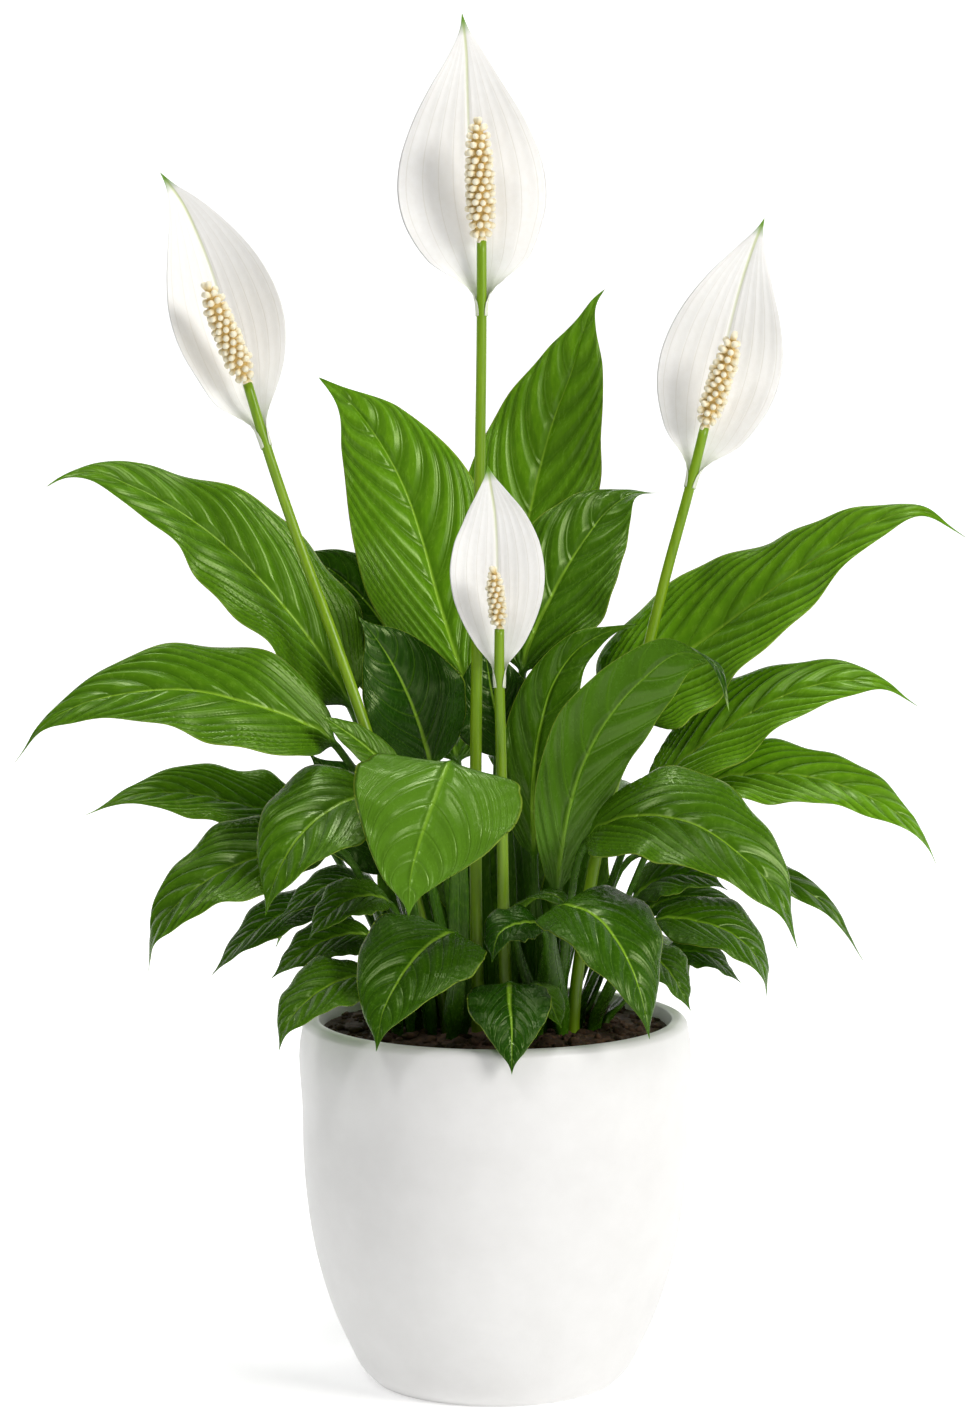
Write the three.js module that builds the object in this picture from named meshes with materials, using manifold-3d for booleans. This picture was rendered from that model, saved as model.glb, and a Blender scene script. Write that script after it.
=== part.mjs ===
// A potted peace lily: a white ceramic pot, its soil, forty-six leaves and four flowers.
// Units are millimetres, +Z is up, and the origin is the middle of the pot's base.
import * as THREE from "three";
import { mergeVertices } from "three/addons/utils/BufferGeometryUtils.js";
import Module from "manifold-3d";

const wasm = await Module();
wasm.setup();

// ---------------------------------------------------------------- driving dimensions
const POT_RADIUS = 100; // outside, over the straight upper wall
const POT_HEIGHT = 190;
const POT_WALL = 9;
const POT_FLOOR = 10;
const FOOT_RADIUS = 64; // of the flat base
const BELLY_HEIGHT = 140; // where the curved lower wall turns upright
const BELLY_POWER = 2.3; // how square the curve of the lower wall is
const LIP_OUTER_ROUND = 5.5; // soft outer shoulder of the lip
const LIP_INNER_ROUND = 1.5; // crisp inner edge of the lip
const FOOT_ROUND = 1.5;

const HEADSPACE = 6; // from the lip down to the soil at the wall
const SOIL_MOUND = 2; // how much higher the soil is in the middle
const ROOT_DEPTH = 12; // how far stalks run straight down below the soil's surface
const COLLAR_RISE = 2; // from the top of the mound to where a stalk starts to lean
const CLEARANCE = 0.3; // between any two pieces that touch

const STALK_FOOT_RADIUS = 3.2; // of a large leaf's stalk where it leaves the soil
const STALK_NECK_RADIUS = 1.9; // where that stalk meets the blade
const LEAF_THICKNESS = 1.2; // at the midrib
const SCAPE_FOOT_RADIUS = 3.3; // of a flower stalk
const SCAPE_TOP_RADIUS = 2.5;
const SPATHE_THICKNESS = 1.2;

const PLANT_SPREAD = POT_RADIUS / 100; // the tables below fit a pot of 100 mm radius
const PLANT_HEIGHT = 1; // times the heights in the tables below
const SECTORS = 40; // round the pot and the soil
const SOIL_LEVEL = POT_HEIGHT - HEADSPACE;

// ---------------------------------------------------------------- materials
const paint = (color, roughness) => new THREE.MeshStandardMaterial({ color, roughness, metalness: 0 });
const glaze = paint(0xf2f1ee, 0.35);
const earth = paint(0x2a1d14, 0.95);
const leafGreen = paint(0x2f6b1c, 0.35);
const stalkGreen = paint(0x4f8a1e, 0.45);
const petalWhite = paint(0xf6f4ec, 0.5);
const spadixCream = paint(0xe9d9a8, 0.6);

const plant = new THREE.Group();
const pot = new THREE.Group();

function add(group, name, geometry, material) {
  const mesh = new THREE.Mesh(geometry, material);
  mesh.name = name;
  group.add(mesh);
  return mesh;
}

// ---------------------------------------------------------------- solids from rings
// Closes a run of rings of points, with a pole at each end, into one solid.
function closedRings(rings, firstPole, lastPole) {
  const sides = rings[0].length;
  const points = [firstPole, ...rings.flat(), lastPole];
  const last = points.length - 1;
  const faces = [];
  for (let j = 0; j < sides; j++) {
    const next = (j + 1) % sides;
    faces.push(0, 1 + next, 1 + j);
    for (let i = 0; i < rings.length - 1; i++) {
      const a = 1 + i * sides;
      const b = a + sides;
      faces.push(a + j, a + next, b + next, a + j, b + next, b + j);
    }
    const a = 1 + (rings.length - 1) * sides;
    faces.push(a + j, a + next, last);
  }
  const geometry = new THREE.BufferGeometry().setFromPoints(points);
  return geometry.setIndex(faces);
}

// A closed three.js geometry as a manifold-3d solid, and back.
function toSolid(geometry) {
  const bare = geometry.clone();
  bare.deleteAttribute("normal");
  bare.deleteAttribute("uv");
  const merged = mergeVertices(bare, 1e-4);
  return new wasm.Manifold(
    new wasm.Mesh({
      numProp: 3,
      vertProperties: new Float32Array(merged.attributes.position.array),
      triVerts: new Uint32Array(merged.index.array),
    }),
  );
}

function fromSolid(solid) {
  const mesh = solid.getMesh();
  const geometry = new THREE.BufferGeometry();
  geometry.setAttribute("position", new THREE.BufferAttribute(mesh.vertProperties, 3));
  return geometry.setIndex(new THREE.BufferAttribute(mesh.triVerts, 1));
}

// ---------------------------------------------------------------- pot and soil
const radians = THREE.MathUtils.degToRad;

// Points of a quarter round, from one angle to another.
function arc(x, y, radius, from, to, steps = 3) {
  const points = [];
  for (let i = 0; i <= steps; i++) {
    const angle = radians(from + ((to - from) * i) / steps);
    points.push(new THREE.Vector2(x + radius * Math.cos(angle), y + radius * Math.sin(angle)));
  }
  return points;
}

// The outside radius of the pot at a height.
const BELLY_REACH = BELLY_HEIGHT / (1 - (FOOT_RADIUS / POT_RADIUS) ** 2) ** (1 / BELLY_POWER);
function potRadiusAt(height) {
  const below = Math.max(0, BELLY_HEIGHT - height) / BELLY_REACH;
  return POT_RADIUS * Math.sqrt(1 - below ** BELLY_POWER);
}

const innerRadiusAt = (height) => potRadiusAt(height) - POT_WALL;

function wallPoints(radiusAt, from, to, steps) {
  const points = [];
  for (let i = 0; i <= steps; i++) {
    const height = from + ((to - from) * i) / steps;
    points.push(new THREE.Vector2(radiusAt(height), height));
  }
  return points;
}

function turned(profile) {
  return new THREE.LatheGeometry(profile, SECTORS).rotateX(Math.PI / 2);
}

function potGeometry() {
  const lip = POT_RADIUS - POT_WALL;
  return turned([
    new THREE.Vector2(0, 0),
    ...arc(FOOT_RADIUS - FOOT_ROUND, FOOT_ROUND, FOOT_ROUND, -90, -10, 2),
    ...wallPoints(potRadiusAt, 2 * FOOT_ROUND, BELLY_HEIGHT, 7),
    ...arc(POT_RADIUS - LIP_OUTER_ROUND, POT_HEIGHT - LIP_OUTER_ROUND, LIP_OUTER_ROUND, 0, 90),
    ...arc(lip + LIP_INNER_ROUND, POT_HEIGHT - LIP_INNER_ROUND, LIP_INNER_ROUND, 90, 180, 2),
    ...wallPoints(innerRadiusAt, BELLY_HEIGHT, POT_FLOOR, 5),
    new THREE.Vector2(0, POT_FLOOR),
  ]);
}

// The soil fills the pot up to the headspace and rises a little towards the middle.
function soilGeometry(stalkFeet) {
  const floor = POT_FLOOR + CLEARANCE;
  const radiusAt = (height) => innerRadiusAt(height) - CLEARANCE;
  const edge = radiusAt(SOIL_LEVEL);
  const top = [1, 0.75, 0.4].map(
    (share) => new THREE.Vector2(edge * share, SOIL_LEVEL + SOIL_MOUND * (1 - share ** 2)),
  );
  const body = turned([
    new THREE.Vector2(0, floor),
    ...wallPoints(radiusAt, floor, BELLY_HEIGHT, 5),
    ...top,
    new THREE.Vector2(0, SOIL_LEVEL + SOIL_MOUND),
  ]);
  const sockets = stalkFeet.map((foot) => toSolid(foot));
  return fromSolid(toSolid(body).subtract(wasm.Manifold.union(sockets)));
}

// ---------------------------------------------------------------- stalks and blades
// Directions round each ring, as a share of the half width and of the half thickness.
const RING = [-1, -0.6, 0, 0.6, 1, 0.6, 0, -0.6].map((across, i) => {
  const up = Math.sqrt(1 - across ** 2);
  return [across, i < 4 ? up : -up];
});

// The right-hand side of a leaf that heads a given way, lifted by its roll.
function sideOf(heading, roll) {
  const h = radians(heading);
  const r = radians(roll);
  return new THREE.Vector3(Math.sin(h) * Math.cos(r), -Math.cos(h) * Math.cos(r), Math.sin(r));
}

// A ring of points across the spine. Size holds the half width, the half thickness, how far
// the margins rise along the fold, and how far they curl.
function ring(spine, at, side, size) {
  const centre = spine.getPointAt(at);
  const along = spine.getTangentAt(at);
  const right = side.clone().addScaledVector(along, -side.dot(along)).normalize();
  const up = new THREE.Vector3().crossVectors(right, along);
  return RING.map(([across, height]) => {
    const lift = size.fold * Math.abs(across) + size.curl * across ** 2;
    return centre
      .clone()
      .addScaledVector(right, across * size.width)
      .addScaledVector(up, height * size.thick + lift * size.width);
  });
}

const mix = THREE.MathUtils.lerp;

// A point of the tables below, whose height is measured from the lip of the pot.
function place([x, y, height]) {
  return new THREE.Vector3(x * PLANT_SPREAD, y * PLANT_SPREAD, POT_HEIGHT + height * PLANT_HEIGHT);
}

// Share of the full width at a share of the blade's length: pointed at the tip, and blunter at
// the base the smaller its power is.
function bladeShare(t, basePower, tipPower) {
  const peak = basePower / (basePower + tipPower);
  const most = peak ** basePower * (1 - peak) ** tipPower;
  return (t ** basePower * (1 - t) ** tipPower) / most;
}

// Where the rings of a blade and of a stalk stand, as shares of their lengths.
const BLADE_STEPS = [0, 0.05, 0.15, 0.3, 0.46, 0.62, 0.77, 0.89, 0.96];
const STALK_STEPS = [0, 0.35, 0.7];
const BASE_POWER = 0.75; // how pointed a blade is at its base
const TIP_POWER = 1.25; // and at its tip
const LEAF_FOLD = 14;
const LEAF_CURL = -0.12; // how far the margins turn down, as a share of the half width
const SMALL_LEAF = 40; // a blade narrower than this has a thinner stalk

// The spine of a leaf or a flower stalk, from its collar just above the soil.
function spineFrom([x, y], later) {
  const height = SOIL_LEVEL + SOIL_MOUND + COLLAR_RISE;
  const collar = new THREE.Vector3(x * PLANT_SPREAD, y * PLANT_SPREAD, height);
  return new THREE.CatmullRomCurve3([collar, ...later.map(place)], false, "centripetal");
}

// The buried end of a stalk, straight below its collar: a pole and a ring of points that
// has the same turn about the upright as the ring at the collar.
function footOf(spine, side, radius, depth) {
  const pole = spine.points[0].clone().setZ(SOIL_LEVEL - depth);
  const along = spine.getTangentAt(0);
  const right = side.clone().addScaledVector(along, -side.dot(along)).setZ(0).normalize();
  const up = new THREE.Vector3().crossVectors(right, new THREE.Vector3(0, 0, 1));
  const around = RING.map(([across, height]) =>
    pole.clone().addScaledVector(right, across * radius).addScaledVector(up, height * radius),
  );
  return { pole, around };
}

// The share of a spine's length at which it reaches one of its own points.
function shareAt(spine, index) {
  const lengths = spine.getLengths(400);
  const step = (index / (spine.points.length - 1)) * 400;
  return lengths[Math.round(step)] / lengths[400];
}

function leafSpine(leaf) {
  return spineFrom(leaf.root, leaf.midrib);
}

// Small leaves have thinner stalks.
function slenderness(leaf) {
  return Math.min(1, 0.55 + (0.45 * leaf.width) / SMALL_LEAF);
}

function leafGeometry(leaf) {
  const spine = leafSpine(leaf);
  const neck = shareAt(spine, 1);
  const side = sideOf(leaf.heading, leaf.roll ?? 0);
  const foot = STALK_FOOT_RADIUS * slenderness(leaf);
  const throat = STALK_NECK_RADIUS * slenderness(leaf);
  const { pole, around } = footOf(spine, side, foot, ROOT_DEPTH);
  const fold = Math.tan(radians(leaf.fold ?? LEAF_FOLD));
  const rings = [around];
  for (const t of STALK_STEPS) {
    const radius = mix(foot, throat, t ** 0.7);
    rings.push(ring(spine, neck * t, side, { width: radius, thick: radius, fold: 0, curl: 0 }));
  }
  for (const t of BLADE_STEPS) {
    const share = bladeShare(t, leaf.base ?? BASE_POWER, leaf.tip ?? TIP_POWER);
    const blade = (PLANT_SPREAD * leaf.width * share) / 2;
    const rib = throat * (1 - t) ** 3;
    rings.push(
      ring(spine, mix(neck, 1, t), side, {
        width: Math.max(blade, rib),
        thick: Math.max((LEAF_THICKNESS / 2) * Math.min(1, 2.2 - 2 * t), rib * (1 - Math.min(1, 8 * t))),
        fold: fold * Math.min(1, 4 * t) * (1 - t / 2),
        curl: LEAF_CURL * Math.min(1, 4 * t),
      }),
    );
  }
  return closedRings(rings, pole, spine.getPointAt(1));
}

// What a stalk needs cut out of the soil: a straight hole, a clearance wider and deeper.
function socketGeometry(spine, side, radius) {
  const bottom = footOf(spine, side, radius + CLEARANCE, ROOT_DEPTH + CLEARANCE);
  const top = footOf(spine, side, radius + CLEARANCE, -2 * (SOIL_MOUND + COLLAR_RISE));
  return closedRings([bottom.around, top.around], bottom.pole, top.pole);
}

// ---------------------------------------------------------------- the leaves
// root is where the stalk stands in the soil. midrib runs from the base of the blade to its tip, and
// its points are x, y and the height above the lip. heading is the way the leaf grows, in degrees
// from +X. roll lifts its right-hand margin, fold is the V along its midrib, width is its widest
// part, and a smaller base or tip makes it broader at that end.
const LEAVES = [
  // Tall leaves at the back of the crown, standing up.
  {
    name: "leaf_back_left_tall", root: [-4, 16], width: 76, heading: 100, fold: 20, base: 0.85, tip: 1.15,
    midrib: [
      [-14, 32, 161], [-27, 46, 202], [-39, 57, 245],
      [-53, 64, 281], [-76, 68, 314], [-93, 68, 328],
    ],
  },
  {
    name: "leaf_back_right_tall", root: [9, 22], width: 74, heading: 75, fold: 20,
    midrib: [[3, 50, 186], [16, 68, 246], [28, 78, 296], [43, 82, 338], [51, 82, 365], [58, 80, 374]],
  },
  {
    name: "leaf_right_back", root: [19, 15], width: 62, heading: 78, fold: 20,
    midrib: [[14, 30, 175], [30, 38, 216], [49, 46, 247], [68, 52, 266], [87, 56, 268]],
  },
  {
    name: "leaf_centre_dark", root: [6, 6], width: 46, heading: 90, fold: 16,
    midrib: [[5, 16, 132], [2, 20, 149], [-2, 22, 167], [-6, 22, 194]],
  },
  {
    name: "leaf_right_inner", root: [22, 2], width: 36, heading: 96, roll: -20, fold: 16,
    midrib: [
      [20, 1, 82], [19, 2, 110], [21, 4, 138], [27, 6, 164], [36, 8, 184],
      [50, 8, 195], [63, 8, 201], [74, 8, 203],
    ],
  },
  // The left side, from the highest to the lowest.
  {
    name: "leaf_left_upper", root: [-20, 6], width: 76, heading: 180, roll: 56, fold: 22, base: 0.6, tip: 1.4,
    midrib: [
      [-74, 24, 156], [-112, 20, 214], [-154, 11, 255],
      [-194, -3, 278], [-214, -11, 282], [-228, -16, 275],
    ],
  },
  {
    name: "leaf_left_behind", root: [-12, 12], width: 62, heading: 110, roll: 20, fold: 12,
    midrib: [[-37, 46, 150], [-48, 54, 180], [-63, 58, 204], [-80, 61, 222], [-97, 62, 233], [-109, 62, 236]],
  },
  {
    name: "leaf_left_arching", root: [-27, -4], width: 64, heading: 184, roll: 48, fold: 16, tip: 1.7,
    midrib: [
      [-80, -19, 142], [-118, -34, 164], [-154, -42, 174],
      [-190, -47, 172], [-224, -50, 160], [-242, -52, 138],
    ],
  },
  {
    name: "leaf_left_middle", root: [-38, 8], width: 52, heading: 182, roll: 34, fold: 16, base: 0.65, tip: 1.6,
    midrib: [[-96, 14, 98], [-124, 11, 107], [-155, 5, 115], [-184, -2, 116], [-211, -9, 106]],
  },
  {
    name: "leaf_left_lower", root: [-40, -10], width: 60, heading: 190, roll: 32, fold: 14,
    midrib: [[-82, -24, 93], [-119, -39, 89], [-149, -49, 76], [-171, -55, 53], [-175, -57, 33]],
  },
  {
    name: "leaf_left_front", root: [-33, -22], width: 62, heading: 212, roll: 30, fold: 14, base: 0.6,
    midrib: [[-59, -40, 118], [-83, -55, 115], [-101, -66, 99], [-111, -73, 80], [-115, -76, 64]],
  },
  {
    name: "leaf_left_dark", root: [-12, -3], width: 60, heading: 120, roll: 10, fold: 16,
    midrib: [[-33, 10, 127], [-46, -4, 170], [-60, -10, 196], [-70, -14, 209]],
  },
  {
    name: "leaf_left_sliver", root: [-16, -11], width: 20, heading: 170, roll: 60, fold: 15,
    midrib: [[-48, -30, 122], [-63, -34, 142], [-90, -42, 163]],
  },
  {
    name: "leaf_left_shadow", root: [-30, 4], width: 50, heading: 150, roll: 60, fold: 12,
    midrib: [[-53, 0, 74], [-65, 1, 97], [-80, 2, 119], [-96, 2, 137]],
  },
  {
    name: "leaf_left_small_long", root: [-47, 11], width: 34, heading: 184, roll: 30, fold: 12,
    midrib: [[-83, 0, 58], [-106, -6, 56], [-128, -12, 43], [-146, -16, 24]],
  },
  {
    name: "leaf_left_small_top", root: [-48, 2], width: 28, heading: 186, roll: 28, fold: 12,
    midrib: [[-63, -4, 66], [-81, -10, 71], [-98, -17, 64], [-111, -22, 54]],
  },
  {
    name: "leaf_left_small_front", root: [-43, -19], width: 34, heading: 196, roll: 26, fold: 12,
    midrib: [[-53, -30, 63], [-71, -39, 68], [-87, -48, 58], [-95, -52, 48]],
  },
  {
    name: "leaf_left_small_mid", root: [-52, -10], width: 36, heading: 192, roll: 28, fold: 12,
    midrib: [[-62, -24, 44], [-80, -32, 47], [-102, -39, 37], [-114, -43, 27]],
  },
  {
    name: "leaf_left_rim", root: [-50, -25], width: 42, heading: 204, roll: 24, fold: 12,
    midrib: [[-59, -52, 28], [-78, -66, 30], [-96, -77, 20], [-105, -83, 9], [-108, -87, -2]],
  },
  // The front, hanging over the lip.
  {
    name: "leaf_front_left_big", root: [-18, -28], width: 86, heading: 264, roll: 4, fold: 8, base: 0.42,
    midrib: [[-22, -62, 139], [-30, -80, 124], [-38, -90, 102], [-42, -94, 86], [-43, -98, 67]],
  },
  {
    name: "leaf_front_left_rim", root: [-22, -37], width: 66, heading: 232, roll: 16, fold: 10, base: 0.5,
    midrib: [[-20, -58, 52], [-37, -78, 47], [-50, -92, 31], [-56, -98, 19], [-59, -104, 1]],
  },
  {
    name: "leaf_front_centre", root: [8, -40], width: 42, heading: 268, fold: 6, base: 0.42,
    midrib: [[7, -76, 30], [7, -90, 22], [8, -101, 14], [8, -108, 4], [8, -112, -9]],
  },
  {
    name: "leaf_front_centre_small", root: [22, -30], width: 30, heading: 215, roll: 25, fold: 10, base: 0.6,
    midrib: [[23, -63, 57], [12, -67, 59], [2, -73, 55], [-2, -78, 41]],
  },
  {
    name: "leaf_front_sliver", root: [19, -37], width: 18, heading: 300, roll: -5, fold: 10,
    midrib: [[20, -62, 28], [26, -72, 22], [33, -84, 9]],
  },
  {
    name: "leaf_front_right_curl", root: [24, -21], width: 22, heading: 320, roll: -10, fold: 12,
    midrib: [[10, -42, 59], [23, -49, 71], [32, -53, 70], [38, -55, 62]],
  },
  {
    name: "leaf_front_right_rim", root: [34, -28], width: 62, heading: 318, roll: -14, fold: 10, base: 0.5,
    midrib: [[30, -64, 66], [48, -80, 66], [63, -95, 50], [72, -104, 28], [76, -109, 8]],
  },
  // The right side, from the highest to the lowest.
  {
    name: "leaf_right_front_tall", root: [26, -10], width: 45, heading: 107, roll: -30, fold: 14, base: 0.9,
    midrib: [
      [31, -17, 64], [34, -23, 94], [41, -31, 127], [54, -46, 157], [72, -62, 181],
      [95, -86, 198], [109, -104, 191], [114, -112, 170],
    ],
  },
  {
    name: "leaf_right_upper", root: [29, 8], width: 78, heading: 0, roll: -58, fold: 18, base: 0.38, tip: 1.5,
    midrib: [
      [66, 16, 150], [86, 16, 177], [110, 12, 196], [140, 0, 220],
      [174, -12, 245], [212, -24, 264], [238, -30, 250],
    ],
  },
  {
    name: "leaf_right_arching", root: [37, 1], width: 60, heading: 358, roll: -40, fold: 14, tip: 1.55,
    midrib: [
      [77, 0, 112], [101, -8, 138], [132, -18, 161],
      [165, -29, 176], [194, -38, 177], [213, -44, 166],
    ],
  },
  {
    name: "leaf_right_lower", root: [42, -7], width: 46, heading: 356, roll: -34, fold: 14, base: 0.65,
    midrib: [
      [96, -16, 117], [130, -26, 129], [164, -35, 128],
      [198, -46, 115], [216, -52, 99], [222, -54, 87],
    ],
  },
  {
    name: "leaf_front_right_big", root: [32, -16], width: 72, heading: 345, roll: -32, fold: 12,
    midrib: [
      [45, -37, 95], [65, -55, 111], [95, -68, 111],
      [120, -79, 97], [140, -86, 76], [150, -90, 50],
    ],
  },
  {
    name: "leaf_right_thin", root: [44, 9], width: 28, heading: 355, roll: -30, fold: 12,
    midrib: [[69, 12, 80], [97, 8, 87], [140, 0, 76], [171, -6, 58], [190, -10, 30]],
  },
  {
    name: "leaf_right_small_top", root: [47, 18], width: 34, heading: 10, roll: -30, fold: 14,
    midrib: [[72, 20, 58], [91, 17, 71], [109, 14, 70], [121, 12, 64]],
  },
  {
    name: "leaf_right_small_back", root: [53, 11], width: 26, heading: 10, roll: -30, fold: 14,
    midrib: [[76, 26, 47], [92, 28, 57], [115, 28, 57], [133, 28, 48]],
  },
  {
    name: "leaf_right_small_droop", root: [52, -3], width: 46, heading: 350, roll: -26, fold: 12,
    midrib: [[81, 4, 48], [103, -2, 50], [124, -8, 43], [137, -13, 28], [140, -15, 11]],
  },
  {
    name: "leaf_right_small_low", root: [58, 4], width: 28, heading: 5, roll: -28, fold: 12,
    midrib: [[87, 14, 28], [108, 11, 31], [128, 8, 16]],
  },
  {
    name: "leaf_right_rim", root: [50, -13], width: 34, heading: 340, roll: -20, fold: 12,
    midrib: [[70, -30, 39], [86, -42, 33], [99, -52, 12]],
  },
  // The back, from the left round to the right.
  {
    name: "leaf_back_low_left", root: [-44, 26], width: 44, heading: 150, roll: 10, fold: 12,
    midrib: [[-66, 44, 56], [-88, 60, 60], [-106, 74, 46], [-118, 82, 22]],
  },
  {
    name: "leaf_back_left", root: [-28, 28], width: 62, heading: 128, roll: 8, fold: 14,
    midrib: [[-52, 60, 98], [-70, 86, 112], [-90, 112, 104], [-106, 134, 78]],
  },
  {
    name: "leaf_back_middle_left", root: [-12, 34], width: 70, heading: 100, fold: 14,
    midrib: [[-20, 66, 124], [-28, 98, 142], [-36, 130, 140], [-42, 158, 116]],
  },
  {
    name: "leaf_back_middle_right", root: [10, 36], width: 70, heading: 76, fold: 14,
    midrib: [[20, 66, 108], [30, 98, 122], [42, 130, 114], [52, 156, 86]],
  },
  {
    name: "leaf_back_right", root: [30, 28], width: 62, heading: 50, roll: -8, fold: 14,
    midrib: [[56, 56, 92], [78, 78, 104], [100, 100, 94], [116, 116, 66]],
  },
  {
    name: "leaf_back_low_middle", root: [-4, 46], width: 62, heading: 92, fold: 12, base: 0.7,
    midrib: [[-4, 61, 34], [-4, 67, 62], [-5, 74, 88], [-7, 88, 106], [-9, 106, 102]],
  },
  {
    name: "leaf_back_low_right", root: [26, 44], width: 50, heading: 80, fold: 12, base: 0.7,
    midrib: [[30, 58, 26], [34, 65, 50], [40, 74, 74], [50, 88, 90], [62, 102, 84]],
  },
  {
    name: "leaf_back_rim_left", root: [-28, 44], width: 50, heading: 102, fold: 12, base: 0.7,
    midrib: [[-32, 58, 24], [-36, 64, 48], [-42, 72, 72], [-52, 86, 88], [-64, 100, 82]],
  },
  {
    name: "leaf_back_rim_right", root: [46, 28], width: 40, heading: 30, fold: 10,
    midrib: [[62, 42, 32], [80, 54, 34], [96, 64, 18], [102, 68, -4]],
  },
];

for (const leaf of LEAVES) {
  add(plant, leaf.name, leafGeometry(leaf), leafGreen);
}

// ---------------------------------------------------------------- the flowers
// scape runs up to the foot of the spadix, which ends at tip. The spathe leaves the scape behind
// its last point but one, follows its own midline and is widest at the share peak of its length.
const FLOWERS = [
  {
    name: "main", root: [-9, -20], heading: 90, width: 76, fold: 16, radius: 7.5, peak: 0.42,
    scape: [
      [-10, -18, 64], [-10, -14, 138], [-9, -10, 217],
      [-8, -8, 278], [-7, -6, 360], [-7, -5, 400],
    ],
    midline: [[-8, 3, 390], [-12, 12, 425], [-14, 14, 465], [-15, 8, 498], [-17, 0, 514]],
    tip: [-9, -11, 459],
  },
  {
    name: "left", root: [-25, -15], heading: 96, width: 57, fold: 22, radius: 7, peak: 0.46,
    scape: [
      [-40, -19, 61], [-64, -23, 146], [-78, -20, 187],
      [-95, -10, 232], [-116, -10, 294], [-126, -10, 328],
    ],
    midline: [[-127, 2, 318], [-135, 9, 350], [-147, 9, 390], [-160, 4, 420], [-170, -4, 434]],
    tip: [-145, -24, 376],
  },
  {
    name: "right", root: [40, -18], heading: 84, width: 63, fold: 18, radius: 6.5, peak: 0.44,
    scape: [[49, -14, 73], [64, -6, 134], [78, 0, 190], [88, 2, 231], [99, 2, 272], [107, 2, 305]],
    midline: [[107, 12, 300], [116, 19, 336], [125, 18, 374], [132, 12, 397], [137, 4, 411]],
    tip: [121, -9, 351],
  },
  {
    name: "front", root: [6, -26], heading: 90, width: 48, fold: 16, radius: 4.5, peak: 0.5,
    scape: [[4, -30, 65], [3, -36, 138], [2, -38, 174], [2, -38, 205]],
    midline: [[2, -29, 200], [1, -24, 230], [0, -22, 259], [-4, -32, 287]],
    tip: [-1, -44, 235],
  },
];

const SPATHE_TAPER = 2.7; // how long drawn out a spathe is towards both its ends
const SPATHE_STEPS = [0, 0.07, 0.17, 0.28, 0.4, 0.52, 0.64, 0.76, 0.87, 0.95];
const SCAPE_STEPS = [0, 0.15, 0.3, 0.45, 0.6, 0.75, 0.9, 0.998];
const SPADIX_STEPS = [0.01, 0.07, 0.2, 0.5, 0.8, 0.93, 0.99];

function scapeGeometry(flower, spine) {
  const side = sideOf(flower.heading, 0);
  const { pole, around } = footOf(spine, side, SCAPE_FOOT_RADIUS, ROOT_DEPTH);
  const rings = [around];
  for (const t of SCAPE_STEPS) {
    const radius = mix(SCAPE_FOOT_RADIUS, SCAPE_TOP_RADIUS, t);
    rings.push(ring(spine, t, side, { width: radius, thick: radius, fold: 0, curl: 0 }));
  }
  return closedRings(rings, pole, spine.getPointAt(1));
}

function spatheGeometry(flower, spine) {
  const side = sideOf(flower.heading, 0);
  const sheath = flower.scape.length - 1;
  const start = spine.points[sheath].clone();
  const along = spine.getTangent(sheath / flower.scape.length);
  const front = new THREE.Vector3().crossVectors(side, along).normalize();
  start.addScaledVector(front, -(SCAPE_TOP_RADIUS + CLEARANCE + SPATHE_THICKNESS));
  const midline = new THREE.CatmullRomCurve3([start, ...flower.midline.map(place)], false, "centripetal");
  const rings = SPATHE_STEPS.map((t) => {
    const share = bladeShare(t, SPATHE_TAPER * flower.peak, SPATHE_TAPER * (1 - flower.peak));
    const half = (PLANT_SPREAD * flower.width * share) / 2;
    return ring(midline, mix(0.005, 0.995, t), side, {
      width: Math.max(half, SCAPE_TOP_RADIUS * (1 - t)),
      thick: SPATHE_THICKNESS / 2,
      fold: Math.tan(radians(flower.fold)) * Math.min(1, 3 * t),
      curl: 0.2 * Math.min(1, 3 * t),
    });
  });
  return closedRings(rings, midline.getPointAt(0), midline.getPointAt(1));
}

function spadixGeometry(flower, spine) {
  const side = sideOf(flower.heading, 0);
  const foot = spine.getPointAt(1).addScaledVector(spine.getTangentAt(1), CLEARANCE);
  const tip = place(flower.tip);
  const axis = new THREE.CatmullRomCurve3([foot, foot.clone().lerp(tip, 0.5), tip]);
  const rings = SPADIX_STEPS.map((t) => {
    const radius = flower.radius * (1 - Math.abs(2 * t - 1) ** 5) ** 0.5 * mix(1, 0.85, t);
    return ring(axis, t, side, { width: radius, thick: radius, fold: 0, curl: 0 });
  });
  return closedRings(rings, foot, tip);
}

for (const flower of FLOWERS) {
  const spine = spineFrom(flower.root, flower.scape);
  add(plant, `scape_${flower.name}`, scapeGeometry(flower, spine), stalkGreen);
  add(plant, `spathe_${flower.name}`, spatheGeometry(flower, spine), petalWhite);
  add(plant, `spadix_${flower.name}`, spadixGeometry(flower, spine), spadixCream);
}

// ---------------------------------------------------------------- assembly
const stalkFeet = [
  ...LEAVES.map((leaf) => {
    const side = sideOf(leaf.heading, leaf.roll ?? 0);
    return socketGeometry(leafSpine(leaf), side, STALK_FOOT_RADIUS * slenderness(leaf));
  }),
  ...FLOWERS.map((flower) => {
    const spine = spineFrom(flower.root, flower.scape);
    return socketGeometry(spine, sideOf(flower.heading, 0), SCAPE_FOOT_RADIUS);
  }),
];

add(pot, "pot", potGeometry(), glaze);
add(pot, "soil", soilGeometry(stalkFeet), earth);
pot.add(plant);

export default pot;
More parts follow.
